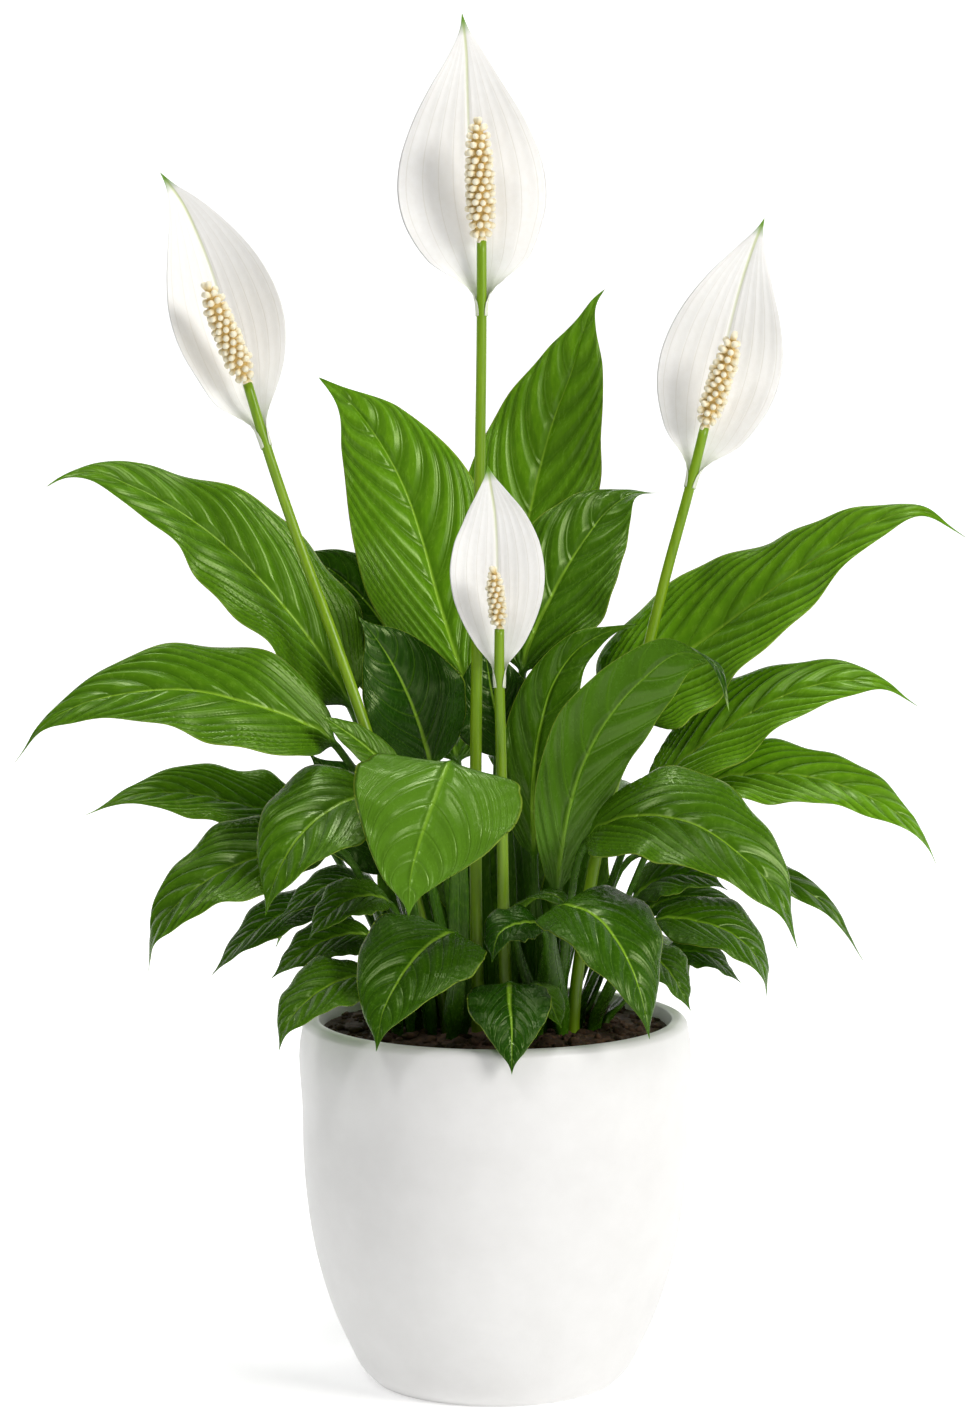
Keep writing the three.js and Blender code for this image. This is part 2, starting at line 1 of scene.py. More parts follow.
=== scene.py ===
# %% [markdown]
# # A peace lily in a white planter
# The plant is a clump of glossy leaves on thin stalks, with four flowers: each is a white
# sheath, called a spathe, around a knobbly cream spike, called a spadix. The CAD model says
# where everything is and how large. This lesson gives each piece its living surface.

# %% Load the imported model
import math
import random

import bmesh
import bpy
import numpy as np
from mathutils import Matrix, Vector, noise


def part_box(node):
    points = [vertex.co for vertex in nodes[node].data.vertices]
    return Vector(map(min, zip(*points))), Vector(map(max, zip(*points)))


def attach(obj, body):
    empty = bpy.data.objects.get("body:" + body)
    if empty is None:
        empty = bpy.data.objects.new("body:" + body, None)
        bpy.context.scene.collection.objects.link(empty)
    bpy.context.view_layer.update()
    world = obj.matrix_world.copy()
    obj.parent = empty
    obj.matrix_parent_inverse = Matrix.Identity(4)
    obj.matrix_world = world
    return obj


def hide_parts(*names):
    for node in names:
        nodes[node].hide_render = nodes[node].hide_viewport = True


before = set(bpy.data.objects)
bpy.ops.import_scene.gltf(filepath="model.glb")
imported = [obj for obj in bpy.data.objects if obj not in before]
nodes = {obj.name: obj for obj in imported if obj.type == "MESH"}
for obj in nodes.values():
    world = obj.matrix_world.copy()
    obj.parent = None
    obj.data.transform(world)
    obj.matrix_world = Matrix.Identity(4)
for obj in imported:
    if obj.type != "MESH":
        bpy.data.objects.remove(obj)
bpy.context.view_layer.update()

MM = 0.001
print("CAD nodes:", len(nodes))

# %% [markdown]
# ## The studio
# A packshot of a white pot needs a white room with one soft light that is stronger than the
# rest, or the pot has no edge and no roundness. The floor and the wall behind are one bent
# sheet, so that no horizon shows. Here the key light hangs at the right, a top light opens up
# the leaves, and a third light at the front left gives them their gloss. The paper glows a
# little by itself, and the room fills what is left in shadow.

# %% The camera
camera = bpy.data.objects.new("camera", bpy.data.cameras.new("camera"))
bpy.context.scene.collection.objects.link(camera)
camera.location = (-0.003, -2.2, 0.59)
camera.rotation_euler = (math.radians(83.76), 0, 0)
camera.data.lens = 109.17
camera.data.sensor_width = 36
bpy.context.scene.camera = camera
print("camera looks down by", round(90 - math.degrees(camera.rotation_euler.x), 2), "degrees")


# %% The lights and the room
PLANT_MIDDLE = Vector((0, 0, 0.35))


def soft_light(name, place, size, watts, colour=(1, 1, 1)):
    """A square area light that faces the middle of the plant."""
    light = bpy.data.lights.new(name, "AREA")
    light.size = size
    light.energy = watts
    light.color = colour
    lamp = bpy.data.objects.new(name, light)
    lamp.location = place
    lamp.rotation_euler = (PLANT_MIDDLE - Vector(place)).to_track_quat("-Z", "Y").to_euler()
    bpy.context.scene.collection.objects.link(lamp)


soft_light("key_light", (2.0, -1.7, 1.5), 1.0, 49, (1, 0.985, 0.96))
soft_light("top_light", (-0.2, 0.0, 2.3), 0.5, 15)
soft_light("gloss_light", (-0.9, -1.4, 2.5), 0.5, 13)

world = bpy.data.worlds.new("room")
world.use_nodes = True
world.node_tree.nodes["Background"].inputs["Color"].default_value = (1, 1, 1, 1)
world.node_tree.nodes["Background"].inputs["Strength"].default_value = 0.10
bpy.context.scene.world = world
bpy.context.scene.view_settings.view_transform = "Standard"


# %% The white sheet
SHEET_FRONT, SHEET_BACK = -5.0, 2.6  # where the floor starts, and where it starts to bend up
SHEET_BEND, SHEET_BEND_STEPS = 1.2, 12
SHEET_TOP, SHEET_HALF_WIDTH = 6.0, 7


def sheet_mesh():
    """A floor that bends up into a wall, as a strip of quads."""
    profile = [(SHEET_FRONT, 0.0), (SHEET_BACK, 0.0)]
    for step in range(1, SHEET_BEND_STEPS + 1):
        turn = step / SHEET_BEND_STEPS * math.pi / 2
        out, rise = SHEET_BEND * math.sin(turn), SHEET_BEND - SHEET_BEND * math.cos(turn)
        profile.append((SHEET_BACK + out, rise))
    profile.append((SHEET_BACK + SHEET_BEND, SHEET_TOP))
    corners = [(x, y, z) for y, z in profile for x in (-SHEET_HALF_WIDTH, SHEET_HALF_WIDTH)]
    faces = [(2 * i, 2 * i + 1, 2 * i + 3, 2 * i + 2) for i in range(len(profile) - 1)]
    mesh = bpy.data.meshes.new("studio_sheet")
    mesh.from_pydata(corners, [], faces)
    mesh.shade_smooth()
    return mesh


paper = bpy.data.materials.new("white_studio_paper")
paper.use_nodes = True
paper_shader = paper.node_tree.nodes["Principled BSDF"]
paper_shader.inputs["Base Color"].default_value = (0.93, 0.93, 0.93, 1)
paper_shader.inputs["Roughness"].default_value = 0.9
paper_shader.inputs["Emission Color"].default_value = (1, 1, 1, 1)
# The paper glows less near the pot than behind it, which keeps a faint shadow under the pot.
paper_nodes, paper_links = paper.node_tree.nodes, paper.node_tree.links
paper_place = paper_nodes.new("ShaderNodeSeparateXYZ")
paper_glow = paper_nodes.new("ShaderNodeMapRange")
paper_glow.inputs["From Min"].default_value = 0.0
paper_glow.inputs["From Max"].default_value = 0.7
paper_glow.inputs["To Min"].default_value = 0.36
paper_glow.inputs["To Max"].default_value = 0.68
paper_spot = paper_nodes.new("ShaderNodeTexCoord")
paper_links.new(paper_spot.outputs["Object"], paper_place.inputs["Vector"])
paper_links.new(paper_place.outputs["Y"], paper_glow.inputs["Value"])
paper_links.new(paper_glow.outputs["Result"], paper_shader.inputs["Emission Strength"])
studio_sheet = bpy.data.objects.new("studio_sheet", sheet_mesh())
studio_sheet.data.materials.append(paper)
bpy.context.scene.collection.objects.link(studio_sheet)
print("sheet quads:", len(studio_sheet.data.polygons))

# %% [markdown]
# ## Reading the CAD solids
# Every leaf, stalk and flower in the CAD model is a sweep: a pole, then rings of eight points,
# then a pole. Those rings say where the middle and the two margins run, so they are read back
# and used as the skeleton of a much finer surface. Reading the mesh keeps each piece exactly
# where the CAD has it, which typing the numbers a second time would not.


# %% Rings of a swept solid
def ring_order(ring):
    """The vertices of one ring, in their order around it."""
    members = set(ring)
    order = [min(ring, key=lambda v: v.index)]
    while len(order) < len(ring):
        nearby = [e.other_vert(order[-1]) for e in order[-1].link_edges]
        order.append(next(v for v in nearby if v in members and v not in order))
    return order


def rings_of(name, around=8):
    """The first pole, the rings as an array of rings by points by xyz, and the last pole."""
    solid = bmesh.new()
    solid.from_mesh(nodes[name].data)
    bmesh.ops.remove_doubles(solid, verts=solid.verts, dist=1e-6)
    solid.verts.index_update()
    poles = [v for v in solid.verts if len(v.link_edges) == around]
    root = min(poles, key=lambda v: v.co.z + 0.5 * v.co.xy.length)
    layers, seen = [[root]], {root}
    while True:
        beyond = {e.other_vert(v) for v in layers[-1] for e in v.link_edges} - seen
        if not beyond:
            break
        layers.append(list(beyond))
        seen |= beyond
    rings = np.array([[v.co[:] for v in ring_order(layer)] for layer in layers[1:-1]])
    first, last = np.array(root.co), np.array(layers[-1][0].co)
    solid.free()
    return first, rings, last


def mean_radii(rings):
    """How far the points of each ring are from its middle, on average."""
    return np.linalg.norm(rings - rings.mean(axis=1)[:, None], axis=2).mean(axis=1)


def unit(vectors):
    """The vectors at length one, along the last axis."""
    return vectors / np.maximum(np.linalg.norm(vectors, axis=-1, keepdims=True), 1e-12)


def lined_up(rings):
    """Turns every ring so that point 0 and point 4 are its two margins, as on the widest."""
    spans = np.linalg.norm(rings[:, :4] - rings[:, 4:], axis=2)
    widest = int(spans.max(axis=1).argmax())
    result = rings.copy()
    result[widest] = np.roll(rings[widest], -int(spans[widest].argmax()), axis=0)

    def match(reference, ring):
        aim = reference - reference.mean(axis=0)
        aim = aim / np.abs(aim).max()
        choices = [np.roll(r, s, axis=0) for r in (ring, ring[::-1]) for s in range(8)]
        return max(choices, key=lambda c: float(((c - c.mean(axis=0)) * aim).sum()))

    for i in range(widest + 1, len(rings)):
        result[i] = match(result[i - 1], rings[i])
    for i in range(widest - 1, -1, -1):
        result[i] = match(result[i + 1], rings[i])
    return result


print("rings of one leaf:", rings_of("leaf_front_left_big")[1].shape)


# %% Smooth curves through a few points
def smooth(knots, values, at):
    """A smooth curve through values at rising knots, read at other places."""
    knots, values, at = np.asarray(knots, float), np.asarray(values, float), np.asarray(at, float)
    steps = np.diff(knots)
    slopes = np.diff(values, axis=0) / steps.reshape(-1, *[1] * (values.ndim - 1))
    tangents = np.empty_like(values)
    before = steps[:-1].reshape(-1, *[1] * (values.ndim - 1))
    after = steps[1:].reshape(-1, *[1] * (values.ndim - 1))
    tangents[1:-1] = (slopes[:-1] * after + slopes[1:] * before) / (before + after)
    tangents[0] = 1.5 * slopes[0] - 0.5 * tangents[1]
    tangents[-1] = 1.5 * slopes[-1] - 0.5 * tangents[-2]
    cell = np.clip(np.searchsorted(knots, at, side="right") - 1, 0, len(steps) - 1)
    shape = (-1, *[1] * (values.ndim - 1))
    width = steps[cell].reshape(shape)
    t = ((at - knots[cell]) / steps[cell]).reshape(shape)
    return (
        (2 * t**3 - 3 * t**2 + 1) * values[cell]
        + (t**3 - 2 * t**2 + t) * width * tangents[cell]
        + (3 * t**2 - 2 * t**3) * values[cell + 1]
        + (t**3 - t**2) * width * tangents[cell + 1]
    )


def ease(start, end, value):
    """0 before start, 1 after end and a soft step between."""
    t = np.clip((value - start) / (end - start), 0, 1)
    return t * t * (3 - 2 * t)


def lengths_along(points):
    """How far along a line each of its points is."""
    return np.concatenate([[0], np.cumsum(np.linalg.norm(np.diff(points, axis=0), axis=1))])


# %% From rings of points to a closed mesh
def add_layer(mesh, name, values):
    """A named number on every vertex, which a material can read."""
    data = mesh.attributes.new(name, "FLOAT", "POINT").data
    data.foreach_set("value", np.asarray(values, np.float32))


def face_outwards(mesh):
    """Turns every face outwards, and shades them smooth."""
    repair = bmesh.new()
    repair.from_mesh(mesh)
    bmesh.ops.recalc_face_normals(repair, faces=repair.faces)
    repair.to_mesh(mesh)
    repair.free()
    mesh.shade_smooth()


def closed_mesh(name, first, rings, last, **layers):
    """A mesh skinned over rings and closed by a point at each end, with named numbers per vertex."""
    count, around = rings.shape[:2]
    points = np.concatenate([[first], rings.reshape(-1, 3), [last]])
    end = len(points) - 1
    faces = []
    for i in range(around):
        j = (i + 1) % around
        faces.append((0, 1 + j, 1 + i))
        faces.append((end, 1 + (count - 1) * around + i, 1 + (count - 1) * around + j))
    for k in range(count - 1):
        low, high = 1 + k * around, 1 + (k + 1) * around
        for i in range(around):
            j = (i + 1) % around
            faces.append((low + i, low + j, high + j, high + i))
    mesh = bpy.data.meshes.new(name)
    mesh.from_pydata(points.tolist(), [], faces)
    for layer, (start, between, finish) in layers.items():
        add_layer(mesh, layer, np.concatenate([[start], np.ravel(between), [finish]]))
    face_outwards(mesh)
    return mesh


def stands_for(mesh, material, slot, *replaced):
    """Puts a mesh in the scene in place of the CAD nodes, riding on the pot."""
    piece = bpy.data.objects.new(mesh.name, mesh)
    bpy.context.scene.collection.objects.link(piece)
    mesh.materials.clear()
    mesh.materials.append(material)
    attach(piece, "root")
    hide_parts(*replaced)
    return piece


# %% [markdown]
# ## The look of a leaf
# A peace lily leaf is glossy and quilted. A pale midrib runs to the tip, and side veins leave
# it in curves that are pressed into the upper side, so the blade swells between them. The
# colour is a deep green that is lighter along the veins, at the margin and on the underside.
# The mesh carries the place of every vertex on the leaf as named numbers, so the material can
# draw each vein where the mesh has its groove, at any resolution.


# %% A helper for wiring nodes
def finish(name):
    """A new material, its nodes, and a function that adds a node and sets its sockets."""
    material = bpy.data.materials.new(name)
    material.use_nodes = True
    tree = material.node_tree
    shader = tree.nodes["Principled BSDF"]

    def add(kind, settings=(), **inputs):
        node = tree.nodes.new(kind)
        for key, value in dict(settings).items():
            setattr(node, key, value)
        for key, value in inputs.items():
            by_number = key[0] == "i" and key[1:].isdigit()
            socket = node.inputs[int(key[1:]) if by_number else key]
            if isinstance(value, bpy.types.NodeSocket):
                tree.links.new(value, socket)
            else:
                socket.default_value = value
        return node

    def wire(output, socket):
        tree.links.new(output, shader.inputs[socket])

    return material, shader, add, wire


def ramp(add, value, *stops):
    """A colour ramp: each stop is a place and a colour or a grey."""
    node = add("ShaderNodeValToRGB", i0=value)
    elements = node.color_ramp.elements
    while len(elements) < len(stops):
        elements.new(0.5)
    for element, (place, colour) in zip(elements, stops):
        element.position = place
        element.color = (*colour, 1) if isinstance(colour, tuple) else (colour, colour, colour, 1)
    return node.outputs["Color"]


def layer_of(add, name):
    """A named number of the mesh, as a socket."""
    return add("ShaderNodeAttribute", {"attribute_name": name}).outputs["Fac"]


def maths(add, operation, *values):
    """One sum on sockets or numbers."""
    inputs = {f"i{i}": value for i, value in enumerate(values)}
    return add("ShaderNodeMath", {"operation": operation}, **inputs).outputs[0]


def blend_colours(add, share, first, second, mode="MIX"):
    """The first colour, with a share of the second laid over it."""
    node = add("ShaderNodeMix", {"data_type": "RGBA", "blend_type": mode})
    for socket, value in ((node.inputs[0], share), (node.inputs[6], first), (node.inputs[7], second)):
        if isinstance(value, bpy.types.NodeSocket):
            node.id_data.links.new(value, socket)
        else:
            socket.default_value = (*value, 1) if isinstance(value, tuple) else value
    return node.outputs[2]


def bumped(add, wire, relief, strength, distance):
    """A relief too fine for the mesh, which only the light sees."""
    bump = add("ShaderNodeBump", Strength=strength, Distance=distance, Height=relief)
    wire(bump.outputs["Normal"], "Normal")


# %% The leaf finish
def leaf_finish():
    """Glossy green, lighter on the ribs, at the margin and underneath, with painted shade in the grooves
    along the side veins.
    """
    material, shader, add, wire = finish("glossy_leaf_green")
    across = maths(add, "ABSOLUTE", layer_of(add, "across"))
    vein = layer_of(add, "vein")
    tone = layer_of(add, "tone")
    under = layer_of(add, "underside")
    stalk = layer_of(add, "stalk")

    # How near a side vein is: 1 on it, 0 halfway to the next.
    def vein_line(times, width):
        turn = maths(add, "FRACT", maths(add, "MULTIPLY", vein, times))
        off = maths(add, "ABSOLUTE", maths(add, "SUBTRACT", turn, 0.5))
        return ramp(add, maths(add, "MULTIPLY", off, 2.0), (1 - width, 0.0), (1.0, 1.0))

    main_veins = vein_line(1.0, 0.14)
    painted_groove_shade = vein_line(1.0, 0.75)
    fine_veins = vein_line(3.0, 0.6)
    cloud = add("ShaderNodeTexNoise", Scale=38.0, Detail=4.0, Roughness=0.6).outputs["Fac"]
    deep = ramp(add, cloud, (0.3, (0.007, 0.040, 0.0004)), (0.7, (0.014, 0.066, 0.0006)))
    bright = ramp(add, cloud, (0.3, (0.105, 0.275, 0.004)), (0.7, (0.160, 0.360, 0.010)))
    # The per-leaf tone is partly the leaf's own green and partly painted light. Leaves deep in the clump are
    # set darkest as painted shade, and the upper ones brightest as painted light.
    flesh = blend_colours(add, tone, deep, bright)
    # Painted shade: the green is darkened in a broad band along each side vein, where the grooves would hold
    # shade.
    flesh = blend_colours(add, maths(add, "MULTIPLY", painted_groove_shade, 0.42), flesh, (0.008, 0.045, 0.0006))
    veined = blend_colours(add, maths(add, "MULTIPLY", main_veins, 0.22), flesh, (0.15, 0.34, 0.012))
    veined = blend_colours(add, maths(add, "MULTIPLY", fine_veins, 0.05), veined, (0.11, 0.27, 0.008))
    rib = ramp(add, layer_of(add, "rib"), (0.25, 0.0), (0.8, 1.0))
    ribbed = blend_colours(add, maths(add, "MULTIPLY", rib, 0.88), veined, (0.26, 0.47, 0.03))
    edge = ramp(add, across, (0.972, 0.0), (0.99, 1.0))
    edged = blend_colours(add, maths(add, "MULTIPLY", edge, 0.75), ribbed, (0.36, 0.52, 0.05))
    pale = blend_colours(add, 0.5, edged, (0.14, 0.32, 0.02))
    sided = blend_colours(add, under, edged, pale)
    stem = ramp(add, cloud, (0.3, (0.024, 0.092, 0.0014)), (0.7, (0.052, 0.150, 0.003)))
    wire(blend_colours(add, stalk, sided, stem), "Base Color")

    grain = add("ShaderNodeTexNoise", Scale=900.0, Detail=3.0).outputs["Fac"]
    wire(ramp(add, cloud, (0.25, 0.20), (0.75, 0.31)), "Roughness")
    relief = maths(add, "ADD", maths(add, "MULTIPLY", grain, 0.05), maths(add, "MULTIPLY", fine_veins, -0.2))
    relief = maths(add, "ADD", relief, maths(add, "MULTIPLY", main_veins, -0.9))
    bumped(add, wire, relief, 0.45, 0.8 * MM)
    shader.inputs["Specular IOR Level"].default_value = 0.42
    shader.inputs["Specular Tint"].default_value = (0.80, 1.0, 0.45, 1.0)
    return material


leaf_green = leaf_finish()

# %% [markdown]
# ## The shape of a leaf
# A leaf and its stalk grow as one piece, so they are one mesh: round rings up the stalk that
# open into the wide, thin rings of the blade. The five lines of the CAD solid (both margins,
# the midrib and the two quarter lines) are smoothed, and the fine surface adds what makes it a
# leaf: the swelling between the side veins, the groove of the midrib with its ridge
# underneath, waves along the margins, and a drawn-out drip tip.

# %% Measures of a blade
STALK_RINGS = 4  # the CAD rings below the blade: the foot and three along the stalk
BLADE_HALF_THICK = 0.28 * MM
VEIN_CURVE = 1.25
QUILT = 1.75 * MM  # how far the blade swells between two side veins
RIB_GROOVE = 0.5 * MM
WIDE_ENOUGH = 26 * MM  # a half blade narrower than this waves less
FULLY_QUILTED = 20 * MM  # and one narrower than this swells less
LONG_BLADE = 100 * MM  # a longer blade gets the fine cells
FINE_CELLS, COARSE_CELLS = (36, 124), (18, 66)  # from the midrib to a margin, and lengthwise
WIDEST_SWEEP, SWEEP_PER_WIDTH = 0.62, 3.0  # how far the side veins sweep up to the tip
SHEATH_SOFT_START = 8 * MM
SHEATH_WIDER = 1.15  # how much wider a stalk is where it sheathes its neighbours


def five_lines(rings):
    """The left margin, left quarter, middle, right quarter and right margin of each ring."""
    upper, lower = rings[:, 1:4], rings[:, [7, 6, 5]]
    return np.concatenate([rings[:, :1], (upper + lower) / 2, rings[:, 4:5]], axis=1)


def across_section(lines, u):
    """Points at the shares u across each section, through its five points: one bend per side."""
    middle = lines[:, 2:3]
    result = np.empty((len(lines), len(u), 3))
    for side, quarter, margin in ((-1, 1, 0), (1, 3, 4)):
        near = lines[:, quarter : quarter + 1] - middle
        far = lines[:, margin : margin + 1] - middle
        curve = (far - near / 0.6) / 0.4
        slope = far - curve
        pick = np.where(u * side >= 0)[0]
        a = np.abs(u[pick])[None, :, None]
        result[:, pick] = middle + slope * a + curve * a * a
    return result


def vein_place(along, across, sweep):
    """Which side vein passes here, as a share of the midrib: they sweep up to the tip."""
    return 1 - (1 - along) / (1 - sweep * np.abs(across) ** VEIN_CURVE)


def frame_along(points, side):
    """Sides and ups that go with a line without twisting."""
    ahead = unit(np.gradient(points, axis=0))
    side = unit(side - (side * ahead).sum(axis=1, keepdims=True) * ahead)
    return side, np.cross(side, ahead)


def both_faces(shares):
    """Shares across the upper side, then back underneath, and which of them are underneath."""
    everywhere = np.concatenate([shares, shares[1:-1][::-1]])
    return everywhere, np.concatenate([np.zeros(len(shares)), np.ones(len(shares) - 2)])


# %% The lines of one leaf
def leaf_lines(node):
    """Both poles, the five lines with the upper side up, and the radii of the stalk."""
    first, rings, last = rings_of(node)
    rings = lined_up(rings)
    lines = np.concatenate([five_lines(rings), np.repeat(last[None, None], 5, axis=1)])
    middle = lines[:, 2]
    # The upper side looks up, or back to the middle of the plant.
    ahead = unit(np.gradient(middle, axis=0))
    right = lines[:-1, 4] - lines[:-1, 0]
    normal = np.cross(right, ahead[:-1])[STALK_RINGS + 1 :].sum(axis=0)
    inward = Vector((-middle[:, 0].mean(), -middle[:, 1].mean(), 0.0)).normalized()
    if normal @ np.array([inward.x * 0.8, inward.y * 0.8, 1.0]) < 0:
        lines = lines[:, ::-1]
    return first, last, lines, mean_radii(rings[:STALK_RINGS])


# %% The relief of a blade
def margin_waves(a, u, width, wave, waves, chance):
    """How far the margins rise: each side has its own beat, with a quicker one over it."""
    beat = [chance.uniform(0, 2 * math.pi) for _ in range(4)]

    def swing(times, start):
        return np.sin(2 * np.pi * times * waves * a + start)

    left = swing(1, beat[0]) + 0.5 * swing(2.3, beat[1])
    right = swing(1.13, beat[2]) + 0.5 * swing(2.1, beat[3])
    calm = ease(0.02, 0.2, a) * (1 - ease(0.8, 1.0, a))
    return wave * np.minimum(1, width / WIDE_ENOUGH) * np.where(u < 0, left, right) * np.abs(u) ** 2.2 * calm


def quilting(a, u, width, vein, depth):
    """How far the blade swells between its side veins, fading at the rib, margins and ends."""
    swell = 0.65 * (0.5 - 0.5 * np.cos(2 * np.pi * vein)) + 0.35 * np.abs(np.sin(np.pi * vein)) ** 0.7
    fade = ease(0.0, 0.08, a) * (1 - ease(0.82, 0.97, a))
    fade = fade * ease(0.0, 0.12, np.abs(u)) * (1 - ease(0.82, 1.0, np.abs(u)))
    return depth * swell * fade * np.minimum(1, width / FULLY_QUILTED)


# %% The stalk of a leaf
def stalk_rings(at, knots, neck, radii, centre, side, up, half):
    """Round rings along the stalk. Its lower half is a sheath: wider, and hollow on its upper side."""
    over = np.pi * (1 - np.arange(2 * half + 1) / (2 * half))
    back = -np.pi * np.arange(1, 2 * half) / (2 * half)
    turn = np.concatenate([over, back])
    radius = np.interp(at, knots[:STALK_RINGS], radii)[:, None]
    up_the_stalk = (at - knots[1]) / (neck - knots[1])
    sheath = ease(0, SHEATH_SOFT_START, at - knots[1]) * (1 - ease(0.5, 0.9, up_the_stalk))
    sheath = sheath[:, None]
    hollow = np.where(np.sin(turn) > 0, 0.8 - 0.55 * sheath * np.sin(turn) ** 2, 1)
    return (
        centre[:, None]
        + (np.cos(turn) * radius * (1 + SHEATH_WIDER * sheath))[..., None] * side[:, None]
        + (np.sin(turn) * radius * hollow)[..., None] * up[:, None]
    )


# %% One whole leaf
def leaf_mesh(name, node, tone, veins, wave, waves, seed):
    """A leaf and its stalk as one closed mesh over a CAD solid."""
    first, last, lines, radii = leaf_lines(node)
    middle = lines[:, 2]
    knots = lengths_along(middle)
    neck = knots[STALK_RINGS]
    blade_length = knots[-1] - neck
    is_long = blade_length > LONG_BLADE
    half, count = FINE_CELLS if is_long else COARSE_CELLS
    stalk_at = np.linspace(knots[0], neck, 15)[:-1]
    s = np.linspace(0, 1, count + 1)[:-1]
    s = 0.75 * s + 0.25 * (1 - np.cos(np.pi * s)) / 2  # closer together at both ends
    at = np.concatenate([stalk_at, neck + s * blade_length])
    along = np.clip((at - neck) / blade_length, 0, 1)

    # The midrib, and how far the other lines stand off it. The stalk takes the turn of the blade.
    centre = smooth(knots, middle, at)
    offsets = lines[STALK_RINGS:] - middle[STALK_RINGS:, None]
    offsets = smooth(knots[STALK_RINGS:], offsets, np.maximum(at, neck))
    aim = unit(unit(lines[STALK_RINGS:-1, 4] - lines[STALK_RINGS:-1, 0]).mean(axis=0))
    side, up = frame_along(centre, np.tile(aim, (len(at), 1)))

    # Drawn-out tip: narrower over the last fifth.
    narrow = 1 - 0.38 * ease(0.80, 0.95, along) * (1 - 0.3 * ease(0.97, 1.0, along))
    smoothed = centre[:, None] + offsets * narrow[:, None, None]
    width = np.linalg.norm(smoothed[:, 4] - smoothed[:, 0], axis=1)[:, None] / 2
    sweep = min(WIDEST_SWEEP, SWEEP_PER_WIDTH * width.max() / blade_length)
    u_top = np.linspace(-1, 1, 2 * half + 1)
    u_top = np.sign(u_top) * np.abs(u_top) ** 1.08
    u, is_under = both_faces(u_top)
    a, u = along[:, None], u[None, :]
    top = across_section(smoothed, u_top)
    surface = np.concatenate([top, top[:, 1:-1][:, ::-1]], axis=1)

    # Waves, quilting, the groove of the midrib and the ridge under it.
    lift = margin_waves(a, u, width, wave, waves, random.Random(seed))
    vein = vein_place(a, u, sweep) * veins
    quilt = quilting(a, u, width, vein, QUILT * (1.0 if is_long else 0.6))
    off_rib = np.abs(u) * width
    rib_size = (1.9 * (1 - a) ** 1.5 + 0.25) * MM
    dip = np.exp(-((off_rib / (0.9 * MM)) ** 2))
    groove = -RIB_GROOVE * dip * ease(0.02, 0.15, a) * (1 - 0.6 * a)
    ridge = rib_size * np.exp(-((off_rib / (0.9 * rib_size)) ** 2)) * (1 - ease(0.85, 1, a))
    thick = BLADE_HALF_THICK * (1 - np.abs(u) ** 6) * np.minimum(1, width / (1.5 * MM))
    height = lift + quilt + np.where(is_under > 0, -thick - ridge, thick + groove)
    blade = surface + height[..., None] * up[:, None]

    # The round stalk opens into the blade just above its neck.
    stem = stalk_rings(at, knots, neck, radii, centre, side, up, half)
    opening = ease(0.0, 0.055, a)[..., None]
    points = stem * (1 - opening) + blade * opening
    rib = np.exp(-((off_rib / np.maximum(0.72 * rib_size, 0.38 * MM)) ** 2))
    rib = rib * (1 - 0.7 * ease(0.6, 1.0, a))
    shape = points.shape[:2]
    return closed_mesh(
        name, first, points, last,
        across=(0, np.broadcast_to(u, shape), 0),
        vein=(0, vein, veins),
        rib=(0, rib, 0),
        tone=(tone, np.full(shape, tone), tone),
        underside=(0, np.broadcast_to(is_under[None, :], shape), 0),
        stalk=(1, np.broadcast_to(1 - ease(0.0, 0.10, a), shape), 0),
    )


# %% [markdown]
# ## All the leaves
# No two leaves of a plant are alike. Old outer leaves are dark and flat, young inner ones
# bright and thin, and each has its own number of veins and its own waves. The brightness of
# each leaf's green is set here partly by that and partly as painted light. The leaves deep in
# the clump get the darkest green as painted shade, and the upper ones the brightest as painted
# light. The table says so for the leaves that are easy to tell apart; the rest take a middling
# value with a little seeded chance.

# %% The leaves and their characters
# tone, with painted light and shade: 0 is the darkest green and 1 the brightest. It is partly each leaf's
# own green, and partly painted shade on the leaves deep in the clump and painted light on the upper ones.
# veins: side veins on each side.
# wave: how far the margin rises and falls, in millimetres. waves: how many it has.
LEAVES = {
    "leaf_back_left_tall": dict(tone=0.80, veins=9, wave=1.5),
    "leaf_back_right_tall": dict(tone=0.86, veins=8, wave=1.5),
    "leaf_right_back": dict(tone=0.42, veins=6),
    "leaf_right_inner": dict(tone=0.35, veins=6),
    "leaf_centre_dark": dict(tone=0, veins=7),
    "leaf_left_dark": dict(tone=0, veins=6),
    "leaf_left_shadow": dict(tone=0, veins=8),
    "leaf_left_behind": dict(tone=0.12, veins=10),
    "leaf_left_upper": dict(tone=0.6, veins=10, wave=3.0),
    "leaf_left_arching": dict(tone=0.55, veins=9, wave=2.5),
    "leaf_left_middle": dict(tone=0.80, veins=8, wave=2.0),
    "leaf_left_lower": dict(tone=0.48, veins=7, wave=1.6),
    "leaf_left_front": dict(tone=0.45, veins=6, wave=1.4),
    "leaf_front_left_big": dict(tone=0.25, veins=6, wave=1.6),
    "leaf_front_left_rim": dict(tone=0.18, veins=7, wave=1.4),
    "leaf_front_centre": dict(tone=0, veins=7),
    "leaf_front_centre_small": dict(tone=0, veins=7),
    "leaf_front_right_rim": dict(tone=0.16, veins=7),
    "leaf_front_right_curl": dict(tone=0.16, veins=7),
    "leaf_right_front_tall": dict(tone=0.02, veins=8),
    "leaf_right_upper": dict(tone=0.92, veins=9, wave=2.5),
    "leaf_right_arching": dict(tone=0.95, veins=9, wave=2.0),
    "leaf_right_lower": dict(tone=1, veins=9, wave=2.0),
    "leaf_front_right_big": dict(tone=0.42, veins=8, wave=1.5),
}
